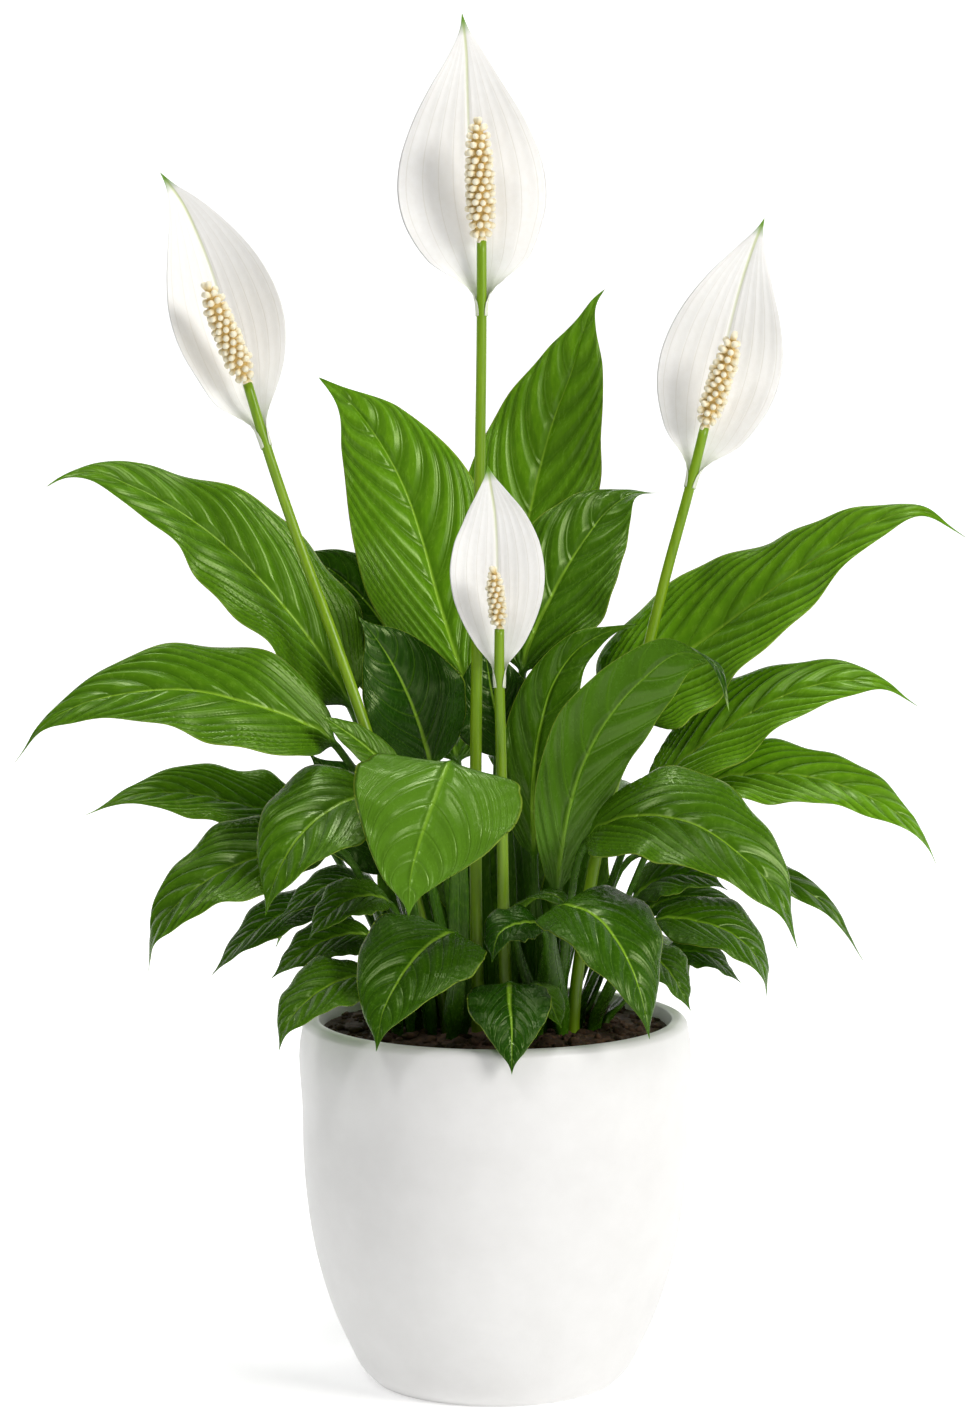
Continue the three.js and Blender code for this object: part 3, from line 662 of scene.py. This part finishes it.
leaf_names = sorted(n for n in nodes if n.startswith("leaf_"))
for order, node in enumerate(leaf_names):
    chance = random.Random(100 + order)
    character = dict(tone=0.30 + 0.16 * chance.random(), waves=2.0 + chance.random())
    character.update({"veins": 7, "wave": 1.6} | LEAVES.get(node, {}))
    character["wave"] *= MM
    mesh = leaf_mesh("veined_" + node, node, seed=order, **character)
    stands_for(mesh, leaf_green, "leaf_green", node)
print("leaves:", len(leaf_names), "vertices in the last:", len(mesh.vertices))

# %% [markdown]
# ## The flower stalks
# A flower stalk is a smooth, round, yellow-green rod that thins a little towards the flower.
# A sweep along the CAD rings gives it. The finish has faint lengthwise streaks and a soft
# gloss, because the skin of a stalk is waxy.


# %% The flower stalk
SCAPE_CELLS, SCAPE_SIDES = 70, 28


def stalk_finish():
    """A soft wax gloss with faint lengthwise streaks."""
    material, shader, add, wire = finish("waxy_stalk_green")
    place = add("ShaderNodeTexCoord").outputs["Object"]
    long_way = add("ShaderNodeMapping", Vector=place, Scale=(1.0, 1.0, 0.06)).outputs["Vector"]
    streaks = add("ShaderNodeTexNoise", Vector=long_way, Scale=420.0, Detail=3.0).outputs["Fac"]
    wire(ramp(add, streaks, (0.3, (0.150, 0.290, 0.002)), (0.7, (0.225, 0.385, 0.004))), "Base Color")
    wire(ramp(add, streaks, (0.3, 0.32), (0.7, 0.42)), "Roughness")
    bumped(add, wire, streaks, 0.2, 0.3 * MM)
    return material


def tube_points(middle, side, up, radius, around):
    """Round rings of points along a line."""
    turn = np.linspace(0, 2 * np.pi, around, endpoint=False)
    flat = np.cos(turn)[None, :, None] * side[:, None] + np.sin(turn)[None, :, None] * up[:, None]
    return middle[:, None] + flat * radius[:, None, None]


def scape_mesh(name, node):
    """A flower stalk: a smooth rod through the rings of its CAD solid."""
    first, rings, last = rings_of(node)
    rings = lined_up(rings)
    centres, radii = rings.mean(axis=1), mean_radii(rings)
    knots = lengths_along(centres)
    at = np.linspace(0, knots[-1], SCAPE_CELLS)
    middle = smooth(knots, centres, at)
    side, up = frame_along(middle, np.tile(unit(rings[0, 4] - rings[0, 0]), (len(at), 1)))
    points = tube_points(middle, side, up, smooth(knots, radii, at), SCAPE_SIDES)
    return closed_mesh(name, first, points, last)


stalk_green = stalk_finish()
FLOWERS = ("main", "left", "right", "front")
for which in FLOWERS:
    mesh = scape_mesh("smooth_scape_" + which, "scape_" + which)
    stands_for(mesh, stalk_green, "scape_green", "scape_" + which)
print("flower stalks:", len(FLOWERS))

# %% [markdown]
# ## The spathes
# A spathe is a single white leaf that stands behind the spike and wraps its own stalk at the
# bottom. It is thin and soft, with a few faint veins that run from the base to the tip in long
# arcs, a green thread along its middle, and a green point. A real point is hooked, and this
# one is left straight. The mesh follows the CAD lines, and closes around the stalk at the base
# as a sheath.


# %% The spathe finish
def spathe_finish():
    """White skin with faint veins, greener at the base, down the middle and at the tip."""
    material, shader, add, wire = finish("white_spathe_skin")
    across = maths(add, "ABSOLUTE", layer_of(add, "across"))
    along = layer_of(add, "along")
    vein = layer_of(add, "vein")
    turn = maths(add, "FRACT", vein)
    off = maths(add, "ABSOLUTE", maths(add, "SUBTRACT", turn, 0.5))
    lines = ramp(add, maths(add, "MULTIPLY", off, 2.0), (0.9, 0.0), (1.0, 1.0))
    cloud = add("ShaderNodeTexNoise", Scale=30.0, Detail=5.0).outputs["Fac"]
    skin = ramp(add, cloud, (0.3, (0.91, 0.90, 0.875)), (0.7, (0.94, 0.935, 0.92)))
    veined = blend_colours(add, maths(add, "MULTIPLY", lines, 0.35), skin, (0.66, 0.62, 0.52))
    tip = ramp(add, along, (0.92, 0.0), (0.972, 1.0))
    thread = ramp(add, layer_of(add, "rib"), (0.3, 0.0), (0.9, 1.0))
    green_thread = maths(add, "MULTIPLY", thread, ramp(add, along, (0.25, 0.1), (0.9, 1.0)))
    threaded = blend_colours(add, maths(add, "MULTIPLY", green_thread, 0.6), veined, (0.52, 0.60, 0.16))
    base = ramp(add, along, (0.0, 1.0), (0.16, 0.0))
    based = blend_colours(add, maths(add, "MULTIPLY", base, 0.5), threaded, (0.50, 0.62, 0.25))
    wire(blend_colours(add, tip, based, (0.13, 0.31, 0.004)), "Base Color")
    wire(ramp(add, cloud, (0.3, 0.42), (0.7, 0.55)), "Roughness")
    fine = add("ShaderNodeTexNoise", Scale=700.0, Detail=3.0).outputs["Fac"]
    relief = maths(add, "ADD", maths(add, "MULTIPLY", lines, -0.8), maths(add, "MULTIPLY", fine, 0.3))
    bumped(add, wire, relief, 0.3, 0.4 * MM)
    return material


# %% Measures of a spathe
SPATHE_HALF_THICK = 0.35 * MM
SHEATH_END = 0.20  # share of the spathe that is still wrapped around the stalk
SHEATH_GAP = 0.5 * MM
PLEATED_WIDTH = 30 * MM  # narrower than this on each side, the pleats fade
SPATHE_PLEAT = 0.24 * MM  # how far the skin swells between two long veins
SPATHE_VEINS = 5  # long veins on each side
SPATHE_CELLS, SPATHE_HALF_CELLS = 110, 34  # lengthwise, and from the middle to a margin
SHEATH_WRAP = np.radians(150)  # how far round the stalk each margin reaches at the base


# %% The spathe shape
def spathe_mesh(name, node, scape, seed, cupping):
    """A spathe over its CAD solid, wrapped round its own stalk at the base."""
    chance = random.Random(seed)
    first, rings, last = rings_of(node)
    lines = five_lines(lined_up(rings))
    if lines[:, 4, 0].mean() < lines[:, 0, 0].mean():
        lines = lines[:, ::-1]
    base, tip = (np.repeat(pole[None, None], 5, axis=1) for pole in (first, last))
    lines = np.concatenate([base, lines, tip])
    knots = lengths_along(lines[:, 2])
    s = np.linspace(0, 1, SPATHE_CELLS + 2)[1:-1]
    at = s * knots[-1]
    smoothed = smooth(knots, lines, at)
    width = np.linalg.norm(smoothed[:, 4] - smoothed[:, 0], axis=1)[:, None] / 2
    side, up = frame_along(smoothed[:, 2], unit(smoothed[:, 4] - smoothed[:, 0]))
    u_top = np.linspace(-1, 1, 2 * SPATHE_HALF_CELLS + 1)
    u, is_under = both_faces(u_top)
    proud = ((smoothed - smoothed[:, 2:3]) * up[:, None]).sum(axis=2, keepdims=True)
    smoothed = smoothed - (1 - cupping) * proud * up[:, None]
    top = across_section(smoothed, u_top)
    surface = np.concatenate([top, top[:, 1:-1][:, ::-1]], axis=1)
    a, u = s[:, None], u[None, :]

    # Soft pleats between the long veins, and a slow wave of the margins.
    vein = np.abs(u) ** 0.85 * SPATHE_VEINS + 0.5
    pleat = SPATHE_PLEAT * np.sin(np.pi * (vein - 0.5)) ** 2 * ease(0.1, 0.35, a) * (1 - ease(0.85, 1, a))
    pleat = pleat * (1 - ease(0.85, 1.0, np.abs(u))) * np.minimum(1, width / PLEATED_WIDTH)
    beat = [chance.uniform(0, 2 * math.pi) for _ in range(2)]
    left, right = np.sin(2 * np.pi * 2.2 * a + beat[0]), np.sin(2 * np.pi * 1.9 * a + beat[1])
    ripple = np.where(u < 0, left, right)
    wave = 1.1 * MM * ripple * np.abs(u) ** 3 * ease(0.15, 0.4, a) * (1 - ease(0.8, 1, a))
    off_rib = np.abs(u) * width
    groove = -0.5 * MM * np.exp(-((off_rib / (1.0 * MM)) ** 2)) * ease(0.2, 0.4, a) * (1 - ease(0.8, 1, a))
    thick = SPATHE_HALF_THICK * (1 - np.abs(u) ** 6) * np.minimum(1, width / (1.5 * MM))
    face = np.where(is_under > 0, -1, 1)
    height = face * thick + pleat + wave + groove
    open_part = surface + height[..., None] * up[:, None]

    # The sheath: an arc around the stalk that opens out as it rises.
    _, scape_rings, scape_top = rings_of(scape)
    centres = np.concatenate([scape_rings.mean(axis=1), scape_top[None]])
    scape_at = lengths_along(centres)
    fine_scape = smooth(scape_at, centres, np.linspace(0, scape_at[-1], 400))
    gaps = np.linalg.norm(fine_scape[None] - smoothed[:, 2][:, None], axis=2)
    nearest = fine_scape[gaps.argmin(axis=1)]
    scape_radius = np.linalg.norm(scape_rings[-1] - scape_rings[-1].mean(axis=0), axis=1).mean()
    arc = SHEATH_WRAP * (1 - 0.35 * ease(0, SHEATH_END, a)) * u
    reach = scape_radius + SHEATH_GAP + face * 0.5 * thick + (width * 0.25) * ease(0, SHEATH_END, a)
    aside, outward = (np.sin(arc) * reach)[..., None], (np.cos(arc) * reach)[..., None]
    sheath = nearest[:, None] + aside * side[:, None] - outward * up[:, None]
    opening = ease(0.03, SHEATH_END, a)[..., None]
    points = sheath * (1 - opening) + open_part * opening

    rib = np.exp(-((off_rib / (0.9 * MM)) ** 2))
    shape = points.shape[:2]
    return closed_mesh(
        name, first, points, last,
        across=(0, np.broadcast_to(u, shape), 0),
        along=(0, np.broadcast_to(a, shape), 1),
        vein=(0, np.broadcast_to(vein, shape), 0),
        rib=(0, rib, 1),
    )


spathe_white = spathe_finish()
SPATHE_CUPPING = {"main": 0.1, "left": 0.8, "right": 0.2, "front": 0.3}  # 1 is as deep as the solid
for order, which in enumerate(FLOWERS):
    cupping = SPATHE_CUPPING[which]
    mesh = spathe_mesh("white_spathe_" + which, "spathe_" + which, "scape_" + which, 40 + order, cupping)
    stands_for(mesh, spathe_white, "spathe_white", "spathe_" + which)
print("spathes:", len(FLOWERS), "vertices each:", len(mesh.vertices))

# %% [markdown]
# ## The spadices
# The spike is packed with small rounded pegs, the true flowers, in a spiral. Their tops are
# nearly white and the gaps between them are golden. Every peg is real geometry, because their
# outline shows all round the spike. A layer holds how high on its peg a point is, and the
# colour follows that.


# %% The spadix finish
def spadix_finish():
    """Golden between the pegs and nearly white on their tops."""
    material, shader, add, wire = finish("cream_spadix")
    height = layer_of(add, "height")
    cloud = add("ShaderNodeTexNoise", Scale=260.0, Detail=3.0).outputs["Fac"]
    golden, straw = (0.0, (0.66, 0.45, 0.14)), (0.4, (0.85, 0.68, 0.34))
    cream, ivory = (0.72, (0.93, 0.81, 0.53)), (1.0, (0.96, 0.89, 0.68))
    flesh = ramp(add, height, golden, straw, cream, ivory)
    shade = ramp(add, cloud, (0.3, 0.90), (0.7, 1.0))
    wire(blend_colours(add, 1.0, flesh, shade, "MULTIPLY"), "Base Color")
    wire(ramp(add, cloud, (0.3, 0.45), (0.7, 0.6)), "Roughness")
    bumped(add, wire, cloud, 0.25, 0.3 * MM)
    return material


# %% The shape of a peg
PEG_SPACING = 4.2 * MM
PEG_SIZE = 0.43  # of the spacing
PEG_PROFILE = ((0.80, -0.9), (0.84, 0.0), (0.90, 0.9), (0.90, 1.6), (0.68, 2.05), (0.3, 2.2))
PEG_CROWN = 2.26  # the top point, just over the last ring of the profile
PEG_SIDES = 9
GOLD_BELOW, PALE_OVER = -0.3, 2.05  # where on a peg the colour starts, and how far up it goes


def add_peg(points, faces, heights, seat, out, one, two, size, tall):
    """One rounded peg that stands out from its seat, closed at both ends."""
    start = len(points)
    for wide, high in PEG_PROFILE:
        for step in range(PEG_SIDES):
            angle = 2 * math.pi * step / PEG_SIDES
            rim_way = math.cos(angle) * one + math.sin(angle) * two
            points.append(tuple(seat + size * (wide * rim_way + high * tall * out)))
            heights.append(min(1, max(0, (high - GOLD_BELOW) / PALE_OVER)))
    points.append(tuple(seat + size * PEG_CROWN * tall * out))
    heights.append(1.0)
    crown = len(points) - 1
    for level in range(len(PEG_PROFILE) - 1):
        low = start + level * PEG_SIDES
        for step in range(PEG_SIDES):
            nxt = (step + 1) % PEG_SIDES
            faces.append((low + step, low + nxt, low + PEG_SIDES + nxt, low + PEG_SIDES + step))
    rim = start + (len(PEG_PROFILE) - 1) * PEG_SIDES
    faces += [(rim + step, rim + (step + 1) % PEG_SIDES, crown) for step in range(PEG_SIDES)]
    faces.append(tuple(start + step for step in reversed(range(PEG_SIDES))))


# %% The spadix shape
CORE_CELLS, CORE_SIDES = 42, 24
THINNEST_CORE = 0.4 * MM
END_LEAN = 1.1  # how far the end pegs lean along the spike, in radians


def spadix_core(name, middle, side, up, radius):
    """The points and faces of the smooth core that the pegs stand on."""
    core = tube_points(middle, side, up, radius, CORE_SIDES)
    root = middle[0] - (middle[1] - middle[0]) * 0.3
    top = middle[-1] + (middle[-1] - middle[-2]) * 0.3
    mesh = closed_mesh(name, root, core, top)
    points = [v.co[:] for v in mesh.vertices]
    faces = [tuple(p.vertices) for p in mesh.polygons]
    bpy.data.meshes.remove(mesh)
    return points, faces


def spadix_mesh(name, node, spacing, seed):
    """A spike packed with pegs in a spiral, over its CAD solid."""
    chance = random.Random(seed)
    first, rings, last = rings_of(node)
    rings = lined_up(rings)
    centres = np.concatenate([[first], rings.mean(axis=1), [last]])
    knots = lengths_along(centres)
    radii = np.concatenate([[0], mean_radii(rings), [0]])
    peg = PEG_SIZE * spacing
    at = np.linspace(0, knots[-1], CORE_CELLS)[1:-1]
    middle = smooth(knots, centres, at)
    side, up = frame_along(middle, np.tile([1.0, 0, 0], (len(at), 1)))
    core_radius = np.maximum(np.interp(at, knots, radii) - 1.3 * peg, THINNEST_CORE)
    points, faces = spadix_core(name, middle, side, up, core_radius)
    heights = [0.0] * len(points)
    rows = max(3, round((knots[-1] - 1.2 * peg) / (0.86 * spacing)))
    pegs = 0
    for row in range(rows + 1):
        share = row / rows
        where = 0.8 * peg + share * (knots[-1] - 1.6 * peg)
        k = min(int(np.searchsorted(at, where)), len(at) - 1)
        radius = float(np.interp(where, knots, radii))
        base = max(radius - 1.75 * peg, 0.25 * peg)
        seats = max(1, round(2 * math.pi * max(radius - 0.6 * peg, 0) / spacing))
        ahead = np.cross(up[k], side[k])
        centre = middle[k] + ahead * (where - at[k])
        # Pegs near the ends lean along the spike, so that both ends are rounded.
        lean = END_LEAN * (2 * share - 1) ** 5
        for seat in range(seats):
            turn = 2 * math.pi * (seat + 0.5 * (row % 2) + 0.08 * row) / seats
            turn += chance.uniform(-0.06, 0.06)
            out = math.cos(turn) * side[k] + math.sin(turn) * up[k]
            tilt = math.sin(lean) + chance.uniform(-0.09, 0.09)
            out = unit(out * math.cos(lean) + ahead * tilt)
            one = unit(np.cross(out, ahead + 0.3 * side[k]))
            two = np.cross(out, one)
            size, tall = peg * chance.uniform(0.92, 1.08), chance.uniform(0.9, 1.12)
            seat_point = centre + out * base * math.cos(lean)
            add_peg(points, faces, heights, seat_point, out, one, two, size, tall)
            pegs += 1
    mesh = bpy.data.meshes.new(name)
    mesh.from_pydata(points, [], faces)
    add_layer(mesh, "height", heights)
    face_outwards(mesh)
    print(name, "has", pegs, "pegs in", rows + 1, "rows")
    return mesh


FRONT_PEGS = 0.8  # the young flower at the front has smaller pegs
spadix_cream = spadix_finish()
for order, which in enumerate(FLOWERS):
    spacing = PEG_SPACING * (FRONT_PEGS if which == "front" else 1.0)
    mesh = spadix_mesh("knobbly_spadix_" + which, "spadix_" + which, spacing, 70 + order)
    stands_for(mesh, spadix_cream, "spadix_cream", "spadix_" + which)

# %% [markdown]
# ## The planter
# The planter is slip-cast and glazed a satin white: a round bowl with a thick soft lip. It is a
# turned shape, so the profile of the CAD solid is read back, smoothed and spun with many more
# sides. The glaze is almost even, and only a faint mottling keeps it from looking like
# plastic.


# %% The glaze
def glaze_finish():
    """Satin white with a faint mottling."""
    material, shader, add, wire = finish("satin_white_glaze")
    broad = add("ShaderNodeTexNoise", Scale=9.0, Detail=5.0, Roughness=0.6).outputs["Fac"]
    speck = add("ShaderNodeTexNoise", Scale=160.0, Detail=4.0).outputs["Fac"]
    wire(ramp(add, broad, (0.3, (0.79, 0.785, 0.775)), (0.7, (0.83, 0.826, 0.818))), "Base Color")
    wire(ramp(add, speck, (0.3, 0.36), (0.7, 0.46)), "Roughness")
    relief = maths(add, "ADD", maths(add, "MULTIPLY", broad, 1.0), maths(add, "MULTIPLY", speck, 0.12))
    bumped(add, wire, relief, 0.18, 1.2 * MM)
    return material


# %% The spun shape
def profile_of(name, around):
    """The radius and height of each ring of a turned solid, from its lower pole inwards."""
    _, rings, _ = rings_of(name, around)
    return np.array([[np.linalg.norm(r[:, :2], axis=1).mean(), r[:, 2].mean()] for r in rings])


def turned_mesh(name, profile, around):
    """A profile of radii and heights spun round the upright."""
    turn = np.linspace(0, 2 * np.pi, around, endpoint=False)
    radius, height = profile[:, 0], np.repeat(profile[:, 1:], around, axis=1)
    xs, ys = np.outer(radius, np.cos(turn)), np.outer(radius, np.sin(turn))
    rings = np.stack([xs, ys, height], axis=2)
    return closed_mesh(name, (0, 0, profile[0, 1]), rings, (0, 0, profile[-1, 1]))


POT_SECTORS = 40  # of the CAD solid
SPUN_SECTORS = 160
STEPS_PER_EDGE = 6  # between two rings of the CAD solid
pot_profile = profile_of("pot", POT_SECTORS)
print("planter profile in mm:")
print(np.round(pot_profile / MM, 1).tolist())
pot_knots = lengths_along(pot_profile)
edges = zip(pot_knots[:-1], pot_knots[1:])
fine_at = np.unique(np.concatenate([np.linspace(*edge, STEPS_PER_EDGE + 1) for edge in edges]))
mesh = turned_mesh("glazed_planter", smooth(pot_knots, pot_profile, fine_at), SPUN_SECTORS)
stands_for(mesh, glaze_finish(), "pot_glaze", "pot")

# %% [markdown]
# ## The soil
# Potting soil is a dark, damp crumble of peat and bark. It shows only as a dark band inside
# the lip, but it grounds the stalks. A fine disc is pushed up and down by noise, and loose
# crumbs lie on it, each a small lumpy solid half sunk in.


# %% The soil finish
def soil_finish():
    """Nearly black peat with browner patches."""
    material, shader, add, wire = finish("dark_damp_soil")
    lumps = add("ShaderNodeTexNoise", Scale=140.0, Detail=8.0, Roughness=0.7).outputs["Fac"]
    bits = add("ShaderNodeTexNoise", Scale=45.0, Detail=4.0).outputs["Fac"]
    dark = ramp(add, lumps, (0.30, (0.010, 0.004, 0.0015)), (0.72, (0.075, 0.034, 0.012)))
    brown = ramp(add, lumps, (0.30, (0.028, 0.011, 0.004)), (0.75, (0.150, 0.072, 0.028)))
    wire(blend_colours(add, ramp(add, bits, (0.45, 0.0), (0.65, 1.0)), dark, brown), "Base Color")
    wire(ramp(add, lumps, (0.3, 0.75), (0.7, 0.95)), "Roughness")
    bumped(add, wire, lumps, 0.8, 1.2 * MM)
    return material


# %% The soil shape
soil_low, soil_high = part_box("soil")
soil_edge = (soil_high.x - soil_low.x) / 2
SOIL_RINGS, SOIL_SIDES = 70, 220
SOIL_CLEARANCE = 0.1 * MM  # inside the edge of the CAD solid
SOIL_LUMP, SOIL_LUMP_HEIGHT = 0.011, 1.6 * MM  # across, and up or down
MOUND_HEIGHT = 2 * MM
CRUMBS = 620
LARGEST_CRUMB = 3.6  # mm


def soil_height(x, y):
    """The crumbly surface above a spot."""
    reach = math.hypot(x, y) / soil_edge
    mound = soil_high.z - MOUND_HEIGHT * reach**2 - 0.6 * MM
    rough = SOIL_LUMP_HEIGHT * noise.fractal(Vector((x, y, 0)) / SOIL_LUMP, 0.8, 2.1, 4)
    return mound + rough * min(1, 8 * (1 - reach) + 0.3)


def level_ring(radius, height):
    """The points of one ring of the soil's wall."""
    turns = [2 * math.pi * i / SOIL_SIDES for i in range(SOIL_SIDES)]
    return [(radius * math.cos(turn), radius * math.sin(turn), height) for turn in turns]


def soil_mesh(name):
    """The crumbly top, the wall and the bottom of the soil, with its loose crumbs."""
    profile = profile_of_soil()
    points, faces = [], []
    for k in range(SOIL_RINGS):
        radius = soil_edge * ((k + 1) / SOIL_RINGS) ** 0.8 - SOIL_CLEARANCE
        points += [(x, y, soil_height(x, y)) for x, y, _ in level_ring(radius, 0)]
    for radius, height in profile:
        points += level_ring(radius, height)
    rows = SOIL_RINGS + len(profile)
    for k in range(rows - 1):
        low, high = k * SOIL_SIDES, (k + 1) * SOIL_SIDES
        for i in range(SOIL_SIDES):
            j = (i + 1) % SOIL_SIDES
            faces.append((low + i, high + i, high + j, low + j))
    points.append((0, 0, soil_height(0, 0)))
    points.append((0, 0, profile[-1][1]))
    last_row = (rows - 1) * SOIL_SIDES
    for i in range(SOIL_SIDES):
        j = (i + 1) % SOIL_SIDES
        faces.append((i, j, len(points) - 2))
        faces.append((last_row + j, last_row + i, len(points) - 1))
    add_crumbs(points, faces, random.Random(7))
    mesh = bpy.data.meshes.new(name)
    mesh.from_pydata(points, [], faces)
    mesh.shade_smooth()
    return mesh


def profile_of_soil():
    """The wall and bottom of the soil body, inside the planter."""
    halfway = soil_low.z + 0.5 * (soil_high.z - soil_low.z)
    inner = [(r, z) for r, z in pot_profile[len(pot_profile) // 2 :] if z < halfway]
    wall = [(soil_edge - SOIL_CLEARANCE, soil_high.z - 8 * MM)]
    return wall + [(r - 0.4 * MM, max(z, soil_low.z)) for r, z in inner if r > 5 * MM]


# %% The loose crumbs and the whole soil
def add_crumbs(points, faces, chance):
    """Lumpy little solids half sunk into the soil, most of them small."""
    seed_ball = bmesh.new()
    bmesh.ops.create_icosphere(seed_ball, subdivisions=2, radius=1)
    ball = [v.co.copy() for v in seed_ball.verts]
    ball_faces = [tuple(v.index for v in f.verts) for f in seed_ball.faces]
    seed_ball.free()
    for crumb in range(CRUMBS):
        reach = soil_edge * math.sqrt(chance.uniform(0.12, 0.93))
        turn = chance.uniform(0, 2 * math.pi)
        x, y = reach * math.cos(turn), reach * math.sin(turn)
        size = MM * min(LARGEST_CRUMB, 0.9 + chance.expovariate(1.0))
        stretch = Vector((chance.uniform(0.8, 1.5), chance.uniform(0.6, 1.0), chance.uniform(0.45, 0.8)))
        spin = chance.uniform(0, math.pi)
        top = min(soil_height(x, y) + 0.15 * size, soil_high.z + 1.5 * MM)
        start = len(points)
        shift = Vector((crumb * 1.7, 0, 0))
        for spot in ball:
            rough = 1 + 0.45 * noise.noise(spot * 1.6 + shift)
            local = Vector((spot.x * stretch.x, spot.y * stretch.y, spot.z * stretch.z)) * size * rough
            px = local.x * math.cos(spin) - local.y * math.sin(spin)
            py = local.x * math.sin(spin) + local.y * math.cos(spin)
            points.append((x + px, y + py, top + local.z))
        faces.extend(tuple(start + i for i in f) for f in ball_faces)


mesh = soil_mesh("crumbly_soil")
stands_for(mesh, soil_finish(), "potting_soil", "soil")
print("soil vertices:", len(mesh.vertices))
